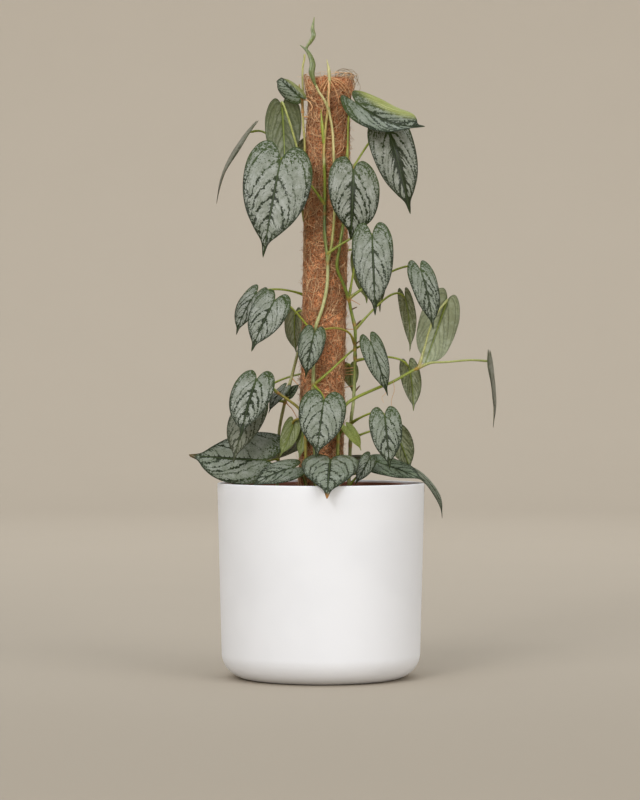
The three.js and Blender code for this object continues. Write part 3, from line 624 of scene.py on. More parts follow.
def veins(g):
    """What both faces of a blade share: the distances from its veins, in millimetres on a blade of middling
    size. Each vein wanders a little and has a strength of its own."""
    flat = g.value("flat")
    x, _, seed = g.split(flat)
    phase, spacing, share = g.split(g.value("vein"))
    edge, rib, along = g.split(g.value("rim"))
    warp = g.add(g.fit(g.noise(flat, 0.12), 0.56, -0.28), g.fit(g.noise(flat, 0.6), 0.12, -0.06))
    bent = g.add(phase, g.times(warp, g.ramp(rib, 0, 6)))
    whole = g.math("ROUND", bent)
    off = g.math("ABSOLUTE", g.math("SUBTRACT", bent, whole))
    half = g.math("ABSOLUTE", g.math("SUBTRACT", off, 0.5))
    own = g.chance(g.join(whole, g.math("SIGN", x), seed))
    streak = g.noise(g.join(g.times(bent, 7), g.times(rib, 0.14), seed), 1, 4, 0.62)
    return SimpleNamespace(flat=flat, seed=seed, share=share, edge=edge, rib=rib, along=along, bent=bent,
                           streak=streak, own=own, lateral=g.times(off, spacing),
                           between=g.times(half, spacing), fine=g.noise(flat, 0.9, 3, 0.6))


def silver_face():
    g = Graph("silver_leaf_upper", Specular_IOR_Level=0.22)
    f = veins(g)
    green, warm, dull = g.split(g.value("tone"))
    tip, _, lime = g.split(g.value("ends"))
    broad_rib, bold, _ = g.split(g.value("mark"))
    blob = g.noise(f.flat, 0.4, 3, 0.55)
    # dark band on the midrib, wide behind its middle and jagged along the veins that leave it
    reach = g.add(g.ramp(f.along, 0.02, 0.3, 0.75, 1.5), g.ramp(f.along, 0.45, 0.92, 0, -1))
    spikes = g.times(g.ramp(f.streak, 0.48, 0.68, 0, 3.2), g.ramp(f.along, 0.1, 0.35, 0.3, 1))
    spikes = g.times(spikes, g.ramp(f.along, 0.6, 0.95, 1, 0.3))
    root = g.times(g.ramp(f.lateral, 0, 2.2, 1.9, 0), g.ramp(f.own, 0.2, 0.8, 0.1, 1.5))
    band = g.below(f.rib, g.times(g.add(reach, g.add(spikes, root)), broad_rib), 0.18)
    # dark veins, of uneven width, broken and partly faded
    own = g.ramp(f.own, 0.1, 0.75, 0.35, 1.5)
    faded = g.ramp(g.noise(f.flat, 0.22), 0.38, 0.5, 0.15, 1)
    swell = g.times(g.ramp(blob, 0.38, 0.66, 0.2, 1.7), faded)
    width = g.times(g.times(g.times(own, swell), g.ramp(f.share, 0, 1, 1.15, 0.8)), bold)
    lateral = g.below(f.lateral, width, 0.15)
    thin = g.times(g.ramp(f.fine, 0.45, 0.75, -0.3, 0.9), g.ramp(g.noise(f.flat, 0.2, 1), 0.5, 0.62))
    between = g.below(f.between, thin, 0.15)
    # dark flecks along the veins' direction, most of them near the edge and in the lobes
    near = g.most(g.ramp(f.edge, 0, 8, 1.25, 0.35), g.ramp(f.along, -0.1, 0.16, 1.25, 0.35))
    distance, luck = g.cells(g.join(g.times(f.bent, 9), g.times(f.rib, 0.4), f.seed), 1)
    flecks = g.below(distance, g.times(g.ramp(luck, 0.38, 1, -0.2, 0.62), near), 0.07)
    distance, luck = g.cells(f.flat, 0.55)
    dots = g.below(distance, g.times(g.ramp(luck, 0.5, 1, -0.2, 0.5), near), 0.07)
    # dark line round the edge, with bites into the silver, and mottled lobes
    border = g.below(f.edge, g.ramp(blob, 0.4, 0.66, 0.7, 2.3), 0.15)
    where = g.most(g.ramp(f.edge, 1, 8, 1, 0), g.ramp(f.along, -0.1, 0.16, 1, 0))
    patches = g.below(g.fit(where, -0.12, 0.655), g.noise(f.flat, 0.5, 3, 0.65), 0.012)
    dark = g.most(band, lateral, g.times(between, 0.7), flecks, dots, border, patches)
    # silver, greyer or greener from place to place, streaked along the veins and greener beside them
    g.look = g.tones(g.noise(f.flat, 0.1), 0.36, 0.64, SILVER_LOW, SILVER_HIGH)
    g.cover(g.ramp(f.streak, 0.4, 0.66, 0, 0.45), SILVER_SHADE)
    g.cover(g.ramp(f.fine, 0.52, 0.75, 0, 0.5), SILVER_LIGHT)
    g.cover(g.ramp(g.noise(f.flat, 0.28, 3, 0.6), 0.54, 0.64, 0, 0.4), SILVER_GREEN)
    halo = g.times(g.below(f.lateral, 1.2, 0.8), g.ramp(g.noise(f.flat, 0.5), 0.42, 0.6, 0, 0.5))
    g.cover(g.most(halo, g.times(where, 0.2)), SILVER_GREEN)
    g.cover(g.times(green, 0.6), (78, 98, 62))
    g.cover(g.times(dull, 0.6), (112, 108, 92))
    # the dark marks, paler near the sinus, over the silver
    shade = g.tones(f.fine, 0.35, 0.65, VEIN_DARK, VEIN_LIGHT)
    shade = g.mix(g.ramp(f.along, 0, 0.3, 0.45, 0), shade, (74, 92, 40))
    g.cover(dark, g.mix(g.times(dull, 0.5), shade, (66, 66, 46)))
    # yellow green where the leaf is warm or young, a green midrib, and a brown tip
    g.cover(g.times(warm, 0.88), g.tones(f.streak, 0.4, 0.65, (128, 136, 62), (172, 174, 114)))
    g.cover(lime, g.tones(f.fine, 0.4, 0.65, (118, 132, 50), (176, 184, 104)))
    g.cover(g.times(g.below(f.rib, 0.3, 0.2), 0.4), (92, 110, 68))
    g.cover(g.times(tip, g.ramp(f.along, 0.88, 0.97)), (150, 104, 48))
    groove = g.most(g.below(f.rib, 0.45, 0.45), g.times(g.below(f.lateral, 0.4, 0.4), 0.7))
    height = g.add(g.times(groove, -0.5), g.add(g.times(f.fine, 0.3), g.times(f.streak, 0.4)))
    return g.done(g.ramp(dark, 0, 1, 0.4, 0.32), height, 0.0005, 0.8)


def green_face():
    g = Graph("silver_leaf_under", Specular_IOR_Level=0.45)
    f = veins(g)
    _, warm, dull = g.split(g.value("tone"))
    _, deep, lime = g.split(g.value("ends"))
    blob = g.noise(f.flat, 0.3, 3, 0.6)
    g.look = g.tones(f.streak, 0.36, 0.64, (120, 128, 88), (154, 161, 127))
    # pale patches: painted sheen, standing for the gloss on the underside
    g.cover(g.ramp(g.noise(f.flat, 0.1), 0.48, 0.64, 0, 0.8), (170, 177, 150))
    g.cover(g.ramp(blob, 0.52, 0.66, 0, 0.5), (108, 117, 76))
    g.cover(g.times(deep, g.ramp(blob, 0.3, 0.6, 1, 0.6)), (62, 70, 36))
    g.cover(g.times(g.below(f.lateral, g.ramp(blob, 0.35, 0.65, 0.2, 1.6), 0.5), 0.7), (76, 86, 44))
    g.cover(g.times(g.below(f.edge, g.ramp(blob, 0.35, 0.65, 0.4, 1.2), 0.4), 0.75), (60, 70, 30))
    g.cover(g.times(dull, 0.5), (108, 102, 84))
    g.cover(g.times(warm, 0.6), (136, 146, 66))
    g.cover(g.times(lime, 0.8), g.tones(f.fine, 0.4, 0.65, (104, 118, 40), (140, 150, 72)))
    # a paler underside where `dark` is below nought; on leaf 16 this is painted light
    g.cover(g.times(deep, -0.7), (176, 184, 152))
    # raised midrib, paler than the green beside it
    beside = g.below(f.rib, g.ramp(f.along, 0, 1, 2.6, 0.9), 0.8)
    g.cover(g.times(beside, g.ramp(f.streak, 0.35, 0.6, 0.3, 0.9)), (70, 84, 32))
    g.cover(g.below(f.rib, g.ramp(f.along, 0, 1, 1, 0.3), 0.3), (120, 134, 56))
    ridge = g.times(g.below(f.lateral, 0.5, 0.5), 0.8)
    height = g.add(ridge, g.add(g.times(f.fine, 0.3), g.times(f.streak, 0.5)))
    return g.done(g.ramp(blob, 0.3, 0.7, 0.3, 0.46), height, 0.0005, 0.8)


def stem_skin():
    """Stems and petioles: `coat` says how fresh, how red and how pale each place is, or how woody where the
    last is below nought. The pale share is partly the stems' own cream colour and partly painted
    highlight, standing for their gloss."""
    g = Graph("stem_skin", Specular_IOR_Level=0.35, Coat_Weight=0.35, Coat_Roughness=0.15)
    fresh, red, pale_and_sheen = g.split(g.value("coat"))
    place = g.place()
    streak = g.noise(g.stretch(place, 2.2, 2.2, 0.12), 1, 3, 0.6)
    fine = g.noise(place, 1.4, 3, 0.6)
    g.look = g.tones(streak, 0.35, 0.65, (40, 62, 16), (88, 112, 44))
    g.cover(fresh, g.tones(streak, 0.3, 0.7, (92, 116, 6), (164, 172, 36)))
    # pale cream over the green: partly the stems' own colour, partly painted highlight for their gloss
    g.cover(pale_and_sheen, g.tones(streak, 0.35, 0.7, (160, 168, 100), (240, 234, 184)))
    g.cover(g.times(g.ramp(g.noise(place, 0.05), 0.5, 0.7), 0.35), (104, 116, 40))
    g.cover(red, g.tones(streak, 0.3, 0.7, (150, 84, 44), (214, 150, 92)))
    g.cover(g.ramp(fine, 0.62, 0.8, 0, 0.3), (90, 84, 36))
    g.cover(g.times(pale_and_sheen, -1), g.mix(streak, (52, 34, 20), (112, 82, 52)))
    return g.done(g.ramp(fine, 0.3, 0.7, 0.28, 0.42), g.add(streak, g.times(fine, 0.4)), 0.0003, 0.5)


def new_leaf_skin():
    """Rolled leaves: the first value of `coat` says how old, and so how olive, each is."""
    g = Graph("rolled_leaf_skin", Specular_IOR_Level=0.55, Coat_Weight=0.15, Coat_Roughness=0.3)
    place = g.place()
    streak = g.noise(g.stretch(place, 1.3, 1.3, 0.12), 1, 3, 0.6)
    fine = g.noise(place, 1.6, 3, 0.6)
    g.look = g.tones(streak, 0.35, 0.65, (92, 110, 52), (146, 156, 98))
    g.cover(g.ramp(g.noise(place, 0.16, 1), 0.5, 0.68, 0, 0.7), (160, 170, 140))
    g.cover(g.ramp(fine, 0.6, 0.75, 0, 0.5), (70, 88, 42))
    old = g.split(g.value("coat"))[0]
    g.cover(g.times(old, 0.85), g.tones(streak, 0.35, 0.65, (60, 74, 26), (112, 124, 62)))
    return g.done(0.38, g.add(streak, g.times(fine, 0.3)), 0.0003, 0.5)


def coir_mat():
    g = Graph("coir_mat", Specular_IOR_Level=0.2)
    place = g.place()
    upright = g.noise(g.stretch(place, 0.45, 0.45, 0.3), 1, 4, 0.75)
    slanted = g.noise(g.stretch(g.turn(g.turn(place, "X", 0.9), "Z", 0.7), 0.8, 0.8, 0.2), 1, 4, 0.7)
    shaded_gaps = g.noise(place, 0.6, 3, 0.7)
    g.look = g.tones(upright, 0.4, 0.6, (142, 74, 38), (240, 164, 114))
    g.cover(g.ramp(slanted, 0.44, 0.6, 0, 0.8), (255, 188, 136))
    # near-black specks: painted shade in the gaps between the fibres
    g.cover(g.ramp(shaded_gaps, 0.53, 0.62, 0, 0.95), (54, 24, 8))
    g.cover(g.ramp(g.noise(place, 0.07), 0.42, 0.65, 0, 0.35), (150, 90, 52))
    return g.done(g.ramp(upright, 0.3, 0.7, 0.85, 0.98), g.add(g.add(upright, slanted), shaded_gaps), 0.0012, 0.9)


def fibre_skin(name, dark, light):
    """Loose threads: each has its own shade, held in `coat`."""
    g = Graph(name, Specular_IOR_Level=0.35)
    grain = g.noise(g.place(), 0.6)
    g.look = g.mix(g.split(g.value("coat"))[0], dark, light)
    g.cover(g.ramp(grain, 0.4, 0.7, 0, 0.4), dark)
    return g.done(g.ramp(grain, 0.3, 0.7, 0.6, 0.8))


def earth_skin():
    g = Graph("potting_soil", Specular_IOR_Level=0.25)
    place = g.place()
    fine = g.noise(place, 0.9, 4, 0.7)
    g.look = g.tones(fine, 0.35, 0.7, (38, 27, 20), (84, 62, 45))
    g.cover(g.ramp(g.noise(place, 0.12), 0.45, 0.65, 0, 0.5), (58, 43, 31))
    return g.done(g.ramp(fine, 0.3, 0.7, 0.8, 1), fine, 0.0015, 0.9)


def white_pot_skin():
    g = Graph("white_pot", Specular_IOR_Level=0.5)
    place = g.place()
    fine = g.noise(place, 0.5, 3, 0.55)
    g.look = g.tones(g.noise(place, 0.012), 0.35, 0.65, (231, 233, 238), (235, 237, 242))
    return g.done(g.ramp(fine, 0.3, 0.7, 0.46, 0.54), fine, 0.00012, 0.35)


def brown_pot_skin():
    g = Graph("grow_pot_plastic", Specular_IOR_Level=0.45)
    place = g.place()
    fine = g.noise(place, 0.7, 3, 0.6)
    g.look = g.tones(g.noise(place, 0.05), 0.35, 0.65, (122, 72, 52), (142, 88, 66))
    g.cover(g.ramp(fine, 0.6, 0.8, 0, 0.3), (96, 66, 50))
    return g.done(g.ramp(fine, 0.3, 0.7, 0.42, 0.6), fine, 0.0002, 0.4)


def wood_skin():
    g = Graph("stake_wood", Specular_IOR_Level=0.3)
    grain = g.noise(g.stretch(g.place(), 0.8, 0.8, 0.04), 1, 4, 0.6)
    g.look = g.tones(grain, 0.35, 0.65, (150, 118, 80), (192, 162, 118))
    return g.done(g.ramp(grain, 0.3, 0.7, 0.65, 0.85), grain, 0.0004, 0.6)


def stage_skin():
    """Plain paper, darker in front of the plant than behind it."""
    g = Graph("stage_paper", Specular_IOR_Level=0.1)
    place = g.node("TexCoord").outputs["Object"]
    plain = g.mix(g.noise(place, 3), (178, 168, 154), (176, 166, 152))
    g.look = g.tones(g.split(place)[1], -0.9, 0.3, (164, 154, 140), plain)
    return g.done(0.95)


# Leaves

def blade_frame(shape):
    """The blade's base, the way along it, its length, the way its upper face looks and the way across."""
    base = np.array(shape["base"], float)
    along = np.array(shape["tip"], float) - base
    length = np.linalg.norm(along)
    along = along / length
    out = np.array(shape["face"], float)
    out = unit(out - along * (out @ along))
    return base, along, length, out, np.cross(out, along)


def slipped(shape, u, v):
    """The place along the blade, with the edge of each half moved towards the tip."""
    slip = shape.get("slip", [0, 0])
    return u + np.abs(v) * np.where(v > 0, slip[0], slip[1])


def blade_surface(shape, placed, u, v):
    """Maps a place on the flat blade, u along the midrib and v across it, onto the bent blade."""
    base, along, length, out, across = placed
    arch = shape.get("arch", USUAL_ARCH)
    fold = math.radians(shape.get("fold", USUAL_FOLD))
    cup = shape.get("cup", USUAL_CUP)
    sides = shape.get("sides", [1, 1])
    place = slipped(shape, u, v)
    slope = 4 * arch * (1 - 2 * place)
    normal = unit(out - slope[..., None] * along)
    half = shape["half"] * np.where(v > 0, sides[0], sides[1])
    size = np.abs(v)
    wave = 0.03 * np.sin(9 * u + 2 * np.sign(v)) * size ** 2
    height = size * half * (math.sin(fold) - cup * size + wave)
    rise = 4 * arch * length * place * (1 - place)
    return (base + along * (length * place)[..., None] + out * rise[..., None]
            + across * (v * half * math.cos(fold))[..., None] + normal * height[..., None])


def smooth_knots(knots):
    """Fine rows between the knots, on a smooth curve through them."""
    k = np.array([row[:3] for row in knots], float)
    ends = np.vstack([k[:1], k, k[-1:]])
    slope = (ends[2:] - ends[:-2]) / 2
    rows = [k[:1]]
    for i in range(len(k) - 1):
        count = knots[i + 1][3]
        t = (np.arange(1, count + 1) / count)[:, None]
        a, b, p, q = slope[i], slope[i + 1], k[i], k[i + 1]
        rows.append(p + a * t + (3 * (q - p) - 2 * a - b) * t ** 2 + (2 * (p - q) + a + b) * t ** 3)
    return np.vstack(rows)


def edge_distance(x, y, outline_x, outline_y):
    """How far each place on the flat blade is from its outline."""
    ax, ay = outline_x[:-1], outline_y[:-1]
    bx, by = np.diff(outline_x), np.diff(outline_y)
    px = x.reshape(-1, 1) - ax
    py = y.reshape(-1, 1) - ay
    t = np.clip((px * bx + py * by) / np.maximum(bx * bx + by * by, 1e-9), 0, 1)
    return np.hypot(px - t * bx, py - t * by).min(axis=1).reshape(x.shape)


def vein_phase(mid, share):
    """A number that is whole along each side vein and rises by one from a vein to the next."""
    bend = VEIN_BEND * share ** 1.25
    m = (mid - bend) / (1 - bend)
    return np.where(m > 0, m / VEIN_STRIDE, m / LOBE_VEIN_STRIDE)


def blade(number, shape):
    """A leaf's blade with its veins pressed in, and what its skins need to know at each point."""
    placed = blade_frame(shape)
    length = placed[2]
    halves = []
    for full in shape.get("full", USUAL_FULLNESS):
        halves.append(smooth_knots([(*row[:2], row[2] ** full if i > WIDEST_KNOT else row[2], row[3])
                                    for i, row in enumerate(BLADE_KNOTS)]))
    rows = halves[0]
    columns = len(BLADE_SHARES) - 1
    signed = np.concatenate([-BLADE_SHARES[:0:-1], BLADE_SHARES])
    share = np.abs(signed)[None]
    mid = rows[:, :1]
    u = mid + share * (rows[:, 1:2] - mid)
    reach = np.where(signed[None] > 0, rows[:, 2:3], halves[1][:, 2:3])
    v = signed[None] * np.maximum(reach, 0)
    sides = shape.get("sides", [1, 1])
    half = shape["half"] * np.where(signed > 0, sides[0], sides[1])[None]
    x = v * half
    y = slipped(shape, u, v) * length
    phase = vein_phase(mid, share)
    spacing = np.zeros_like(u)
    edge = np.zeros_like(u)
    for cut in (slice(0, columns + 1), slice(columns, None)):
        xs, ys, ps = x[:, cut], y[:, cut], phase[:, cut]
        xi, xj = np.gradient(xs)
        yi, yj = np.gradient(ys)
        pi, pj = np.gradient(ps)
        area = xi * yj - xj * yi
        area = np.where(np.abs(area) < 1e-6, 1e-6, area)
        steep = np.hypot(pi * yj - pj * yi, pj * xi - pi * xj) / np.abs(area)
        spacing[:, cut] = 1 / np.maximum(steep, 1 / WIDEST_VEIN_SPACING)
        outer = 0 if cut.start == 0 else -1
        edge[:, cut] = edge_distance(xs, ys, xs[:, outer], ys[:, outer])
    rib = np.abs(x)
    size = (MIDDLING_HALF / shape["half"]) ** 0.6
    surface = blade_surface(shape, placed, u, v)

    def normals(points):
        n = np.cross(np.gradient(points, axis=0), np.gradient(points, axis=1))
        n[0] = n[1]
        n[-1] = n[-2]
        return unit(n)

    # the blade rises a little between its veins
    swell = VEIN_SWELL * shape["half"] * (0.5 - 0.5 * np.cos(math.tau * phase))
    swell = swell * np.clip(rib / 5, 0, 1) * np.clip(edge / 4, 0, 1)
    surface = surface + normals(surface) * swell[..., None]
    normal = normals(surface)
    thick = EDGE_THICKNESS + MIDDLE_THICKENING * np.clip(edge / 3, 0, 1)
    vein = np.abs(phase - np.round(phase)) * spacing
    hollow = 0.16 * np.exp(-(rib / 1.0) ** 2) * (1 - u)
    ridge = 0.75 * np.exp(-(rib / 0.9) ** 2) * np.clip(1 - 0.85 * u, 0, 1) + 0.1 * np.exp(-(vein / 0.8) ** 2)
    top = surface + normal * (thick - hollow)[..., None]
    under = surface - normal * (thick + ridge * np.clip(edge / 2, 0, 1))[..., None]
    count, width = u.shape

    def flatten(grid):
        """The grid's points, with its first and last row as one point each."""
        grid = grid if grid.ndim == 3 else grid[..., None]
        return np.vstack([grid[0, columns], grid[1:-1].reshape(-1, grid.shape[-1]), grid[-1, columns]])

    def packed(*grids):
        """Three values at each point of one face, from grids or single numbers."""
        return np.hstack([flatten(np.broadcast_to(grid, u.shape)) for grid in grids])

    inner = (rings(count - 2, width, closed=False) + 1)[:, [0, 3, 2, 1]]
    last = (count - 2) * width + 1
    j = np.arange(width - 1)
    head = np.stack([np.zeros_like(j), j + 1, j + 2], axis=1)
    tail = np.stack([last - width + j, np.full_like(j, last), last - width + j + 1], axis=1)
    total = last + 1
    right = np.arange(count - 2) * width + width
    left = np.arange(count - 2)[::-1] * width + 1
    loop = np.concatenate([[0], right, [last], left])
    after = np.roll(loop, -1)
    rim = np.stack([loop, after, after + total, loop + total], axis=1)
    upper = [inner, head, tail]
    lower = [block[:, ::-1] + total for block in upper]
    tone = TONES.get(number, {})
    warm = tone.get("warm", 0)
    warm = abs(warm) * step(v * np.sign(warm), 0.3, 0.7)
    values = dict(
        flat=packed(x * size, y * size, SEED_STEP * (number - 1) + 1),
        vein=packed(phase, spacing * size, share),
        rim=packed(edge * size, rib * size, u),
        tone=packed(tone.get("green", 0), warm, tone.get("dull", 0)),
        mark=packed(tone.get("rib", 1), tone.get("bold", 1), 0),
        ends=packed(tone.get("tip", 0), tone.get("dark", 0), tone.get("lime", 0)),
    )
    both = {key: np.vstack([value, value]) for key, value in values.items()}
    points = np.vstack([flatten(top), flatten(under)])
    return part(points, [*upper, *lower, rim], [0, 0, 0, 1, 1, 1, 0], **both)


upper_skin = silver_face()
under_skin = green_face()
stem_material = stem_skin()

for number, shape in LEAVES.items():
    name = f"leaf_{number:02}"
    make(name + "_blade", [blade(number, shape)], [upper_skin, under_skin], [name])


# Stems and petioles

def stem_course(name):
    """The stem's path in the solids, and the same path finely divided."""
    shape = STEMS[name]
    points = shape["points"]
    if name not in STEM_OF_SHAPE:
        points = [[*points[0][:2], STEM_FOOT], *points]
    path = spline(points)
    return (clear_of_pole(spaced(path, shape["steps"]), shape["radius"]),
            clear_of_pole(spaced(path, shape["steps"] * STEM_FINENESS), shape["radius"]))


courses = {name: stem_course(name) for name in STEMS}

# How fresh, red and pale each stem is at some heights, which come first in each row. The pale share
# is partly the stems' cream colour and partly painted highlight, most of all on the front stem between
# 372 and 432 and on the crown.
AGES = {
    "stem_front": [(180, 0.3, 0.1, 0.2), (300, 0.2, 0, 0.4), (366, 0.2, 0, 0.55), (372, 0.1, 0, 0.9),
                   (432, 0.1, 0, 0.75), (440, 0.3, 0, 0.25), (464, 0.25, 0, 0.1), (470, 0, 0, 0.05),
                   (500, 0.05, 0, 0.1), (508, 0.85, 0, 0.05), (538, 0.85, 0, 0.1), (544, 0.3, 0, 0.9),
                   (550, 0.95, 0.35, 0.35), (602, 0.95, 0.4, 0.35)],
    "stem_crown": [(436, 0.5, 0.1, 0.2), (500, 0.9, 0.15, 0.6), (630, 0.85, 0.25, 0.8)],
    "stem_right": [(180, 0.25, 0.05, 0.3), (300, 0.4, 0, 0.3), (350, 0.4, 0, 0.05),
                   (440, 0.5, 0, 0.05), (540, 0.85, 0, 0.05)],
    "stem_branch": [(180, 0.6, 0.1, 0.1), (330, 0.85, 0, 0.05)],
    "stem_left": [(180, 0.25, 0, 0.45), (300, 0.35, 0.1, 0.4), (520, 0.7, 0, 0.2),
                  (560, 0.95, 0.25, 0.3), (600, 0.95, 0.15, 0.4), (620, 0.95, 0.1, 0.5)],
    "stem_low": [(180, 0.5, 0.25, 0)],
    "stem_back": [(180, 0.3, 0, 0.3), (590, 0.5, 0, 0.2)],
}
# How fresh, red and pale the petioles are that differ from the others
PETIOLE_COATS = {
    2: (0.8, 0, 0.4), 3: (0.4, 0.6, 0.35), 4: (0.95, 0, 0), 5: (0.95, 0, 0.1), 7: (0.6, 0.45, 0),
    11: (0.95, 0.05, 0), 13: (0.6, 0.25, 0), 16: (0.85, 0.05, 0.6), 18: (0.7, 0, 0.4), 25: (0.6, 0.5, 0),
    26: (0.7, 0.3, 0), 27: (0.6, 0.6, 0),
}


def petiole(number, shape):
    """A leaf's stalk, from its stem to the underside of its blade, thicker where it sheathes the stem."""
    base, along, _, out, _ = blade_frame(shape)
    coarse = courses[shape["stem"]][0]
    start = coarse[nearest(coarse, shape["start"])]
    arrive = unit(0.75 * out + 0.6 * along)
    end = base - out * (BLADE_THICKNESS / 2 + GAP + PETIOLE_RADIUS)
    if "via" in shape:
        path = spline([start, *shape["via"], end])
    else:
        reach = np.linalg.norm(end - start)
        lift = np.array([0, 0, PETIOLE_BOW * reach])
        leave = start + 0.35 * (end - start) + lift
        approach = end - 0.3 * reach * arrive + 0.5 * lift
        t = np.linspace(0, 1, 40)[:, None]
        path = ((1 - t) ** 3 * start + 3 * (1 - t) ** 2 * t * leave + 3 * (1 - t) * t ** 2 * approach
                + t ** 3 * end)
    path = clear_of_pole(path, PETIOLE_RADIUS)
    path[0] = start
    path = np.vstack([path[:-1], [base - out * 0.75]])
    path = spaced(path, PETIOLE_STEPS)
    t = np.linspace(0, 1, PETIOLE_STEPS + 1)
    radii = PETIOLE_RADIUS + (PETIOLE_SHEATH_RADIUS - PETIOLE_RADIUS) * (1 - step(t, 0.0, 0.3))
    radii = radii + 0.18 * np.exp(-((t - 0.93) / 0.04) ** 2) - 0.25 * step(t, 0.95, 1.0)
    coat = np.tile(PETIOLE_COATS.get(number, (0.85, 0.0, 0.1)), (PETIOLE_STEPS + 1, 1))
    coat[:, 0] = np.clip(coat[:, 0] + 0.3 * (step(t, 0.0, 0.25) - 0.7), 0, 1)
    coat[:, 1] = np.clip(coat[:, 1] + 0.3 * (1 - step(t, 0.0, 0.12)), 0, 1)
    return tube(path, radii, PETIOLE_SIDES, coat=coat)


stem_parts = {}
for name, shape in STEMS.items():
    path = courses[name][1]
    count = len(path)
    at = np.arange(count) / (count - 1)
    radii = shape["radius"] * (1 - shape["taper"] * at ** 2)
    along = travelled(path)
    near = np.zeros(count)
    for joint in [along[nearest(path, s["start"])] for s in LEAVES.values() if s["stem"] == name]:
        radii = radii * (1 + 0.2 * np.exp(-((along - joint) / 2.6) ** 2))
        near = np.maximum(near, np.exp(-((along - joint + 2) / 1.8) ** 2))
    radii = radii * (1 + 0.035 * np.sin(along / 5.3 + len(name)))
    ages = np.array(AGES[name])
    coat = np.stack([np.interp(path[:, 2], ages[:, 0], ages[:, k]) for k in (1, 2, 3)], axis=1)
    coat[:, 1] = np.clip(coat[:, 1] + 0.55 * near, 0, 1)
    coat[:, 2] = coat[:, 2] * (1 - 0.6 * near)
    node = STEM_OF_SHAPE.get(name, name)
    stem_parts.setdefault(node, []).append(tube(path, radii, STEM_SIDES, coat=coat))
for number, shape in LEAVES.items():
    stem_parts[STEM_OF_SHAPE.get(shape["stem"], shape["stem"])].append(petiole(number, shape))


def spread(values, count):
    """The values, evenly spread over `count` steps."""
    return np.interp(np.linspace(0, 1, count + 1), np.linspace(0, 1, len(values)), values)


def twig(points, radii, coat):
    """A short tube on a smooth path, with its radii spread along it."""
    path = spaced(spline(points), TWIG_STEPS)
    return tube(path, spread(radii, TWIG_STEPS), PETIOLE_SIDES, coat=coat)


# The crown twigs' cream is partly their own colour and partly painted highlight.
CREAM_AND_SHEEN = (0.6, 0.15, 0.85)
FRESH = (1, 0, 0.1)
TAN = (0.5, 0.4, 0.4)
WOODY = (0, 0.3, -0.8)
stem_parts["stem_front"] += [
    twig([[8, -26.4, 598], [3, -28, 608], [-2, -29, 615.5], [-5.6, -29, 623]], [1.9, 1.4, 1.2, 1.3], CREAM_AND_SHEEN),
    twig([[9, -27.4, 627], [8, -27, 640], [6, -26, 650]], [1.7, 1.8, 0.3], CREAM_AND_SHEEN),
    twig([[3, -26.5, 562], [1, -27.5, 584], [0, -27, 598]], [1.6, 1.8, 0.3], FRESH),
]
stem_parts["stem_left"] += [twig([[-20, -8, 605], [-22, -11, 615], [-23, -9, 626]], [1.5, 2.3, 0.5], TAN)]
stem_parts["stem_right"] += [
    twig([[31, -10, 388], [38, -10, 391]], [1.1, 0.5], WOODY),
    twig([[36, -8, 371], [42, -9, 377]], [1.3, 0.6], WOODY),
    twig([[36, -8, 352], [42, -9, 356]], [1.3, 0.6], WOODY),
    twig([[35.5, -8, 302], [41, -9, 308]], [1.3, 0.6], WOODY),
]
for name, parts in stem_parts.items():
    make(name + "_vine", parts, [stem_material], [name])

# Rolled new leaves

ROLLED = {
    "rolled_leaf_tall": dict(points=[[-15.6, -4, 661], [-15, -4, 666], [-11, -4, 672], [-8, -4, 678],
                                     [-9, -4, 684], [-8, -4, 692], [-7, -4, 698]],
                             radii=[1.1, 1.8, 2.6, 2.8, 2.2, 1.2, 0.25], old=0.4),
    "rolled_leaf_short": dict(points=[[-5.6, -29, 622], [-8, -30, 628], [-10, -30, 636], [-9, -29, 644],
                                      [-11, -28, 652], [-15, -28, 659], [-22, -27, 665]],
                              radii=[1.2, 2.6, 3.9, 3.6, 2.8, 1.7, 0.25], old=1.0),
}
new_leaf_material = new_leaf_skin()
for name, shape in ROLLED.items():
    path = spaced(spline(shape["points"]), ROLL_ROWS)
    path[-1, 2] -= 0.4
    sheet = scroll(path, spread(shape["radii"], ROLL_ROWS), first=-2.2, turns=1.45, tuck=0.3, thickness=0.3,
                   coat=(shape["old"], 0, 0))
    make(name + "_sheet", [sheet], [new_leaf_material], [name])

# Coir pole: a matted sleeve with threads on it and whiskers that stand off

def sleeve_profile():
    """The sleeve's profile, with the bore for the stake."""
    heights = np.linspace(POLE_BOTTOM, POLE_TOP - POLE_TOP_ROUND, SLEEVE_ROWS)
    side = np.stack([pole_radius(heights), heights], axis=1).tolist()
    flat = POLE_HEAD_RADIUS - POLE_TOP_ROUND
    crown = arc(flat, POLE_TOP - POLE_TOP_ROUND, POLE_TOP_ROUND, 8, 90, 8)
    lid = [[r, POLE_TOP] for r in np.linspace(flat, 1.5, 12)[1:]]
    bore = STAKE_RADIUS + GAP
    bore_end = POLE_TOP - STAKE_COVER + GAP
    return [[0, bore_end], [bore, bore_end], [bore, POLE_BOTTOM]] + side + crown + lid + [[0, POLE_TOP]]


points, faces = turned(sleeve_profile(), SLEEVE_SIDES)
relief = np.zeros(len(points))
for i, (x, y, z) in enumerate(points):
    if z > POLE_BOTTOM + 1 and math.hypot(x, y) > STAKE_RADIUS + 2 or z > POLE_TOP - 1:
        coarse = noise.noise(Vector((x, y, z)) / 11)
        mid = noise.noise(Vector((x / 4.2, y / 4.2, z / 6)))
        fine = noise.noise(Vector((x / 1.7, y / 1.7, z / 2.6)))
        relief[i] = 1.7 * coarse + 1.5 * mid + 1.0 * fine - 0.4
out = unit(points * [1, 1, 0])
cap = points[:, 2] > POLE_TOP - 0.5
out[cap] = [0, 0, 1]
relief[cap] *= 1.6
points = points + out * relief[:, None]
points[:, 0] += pole_centre(points[:, 2])
make("coir_sleeve_mat", [part(points, faces)], [coir_mat()], ["coir_sleeve"], sharp=180)


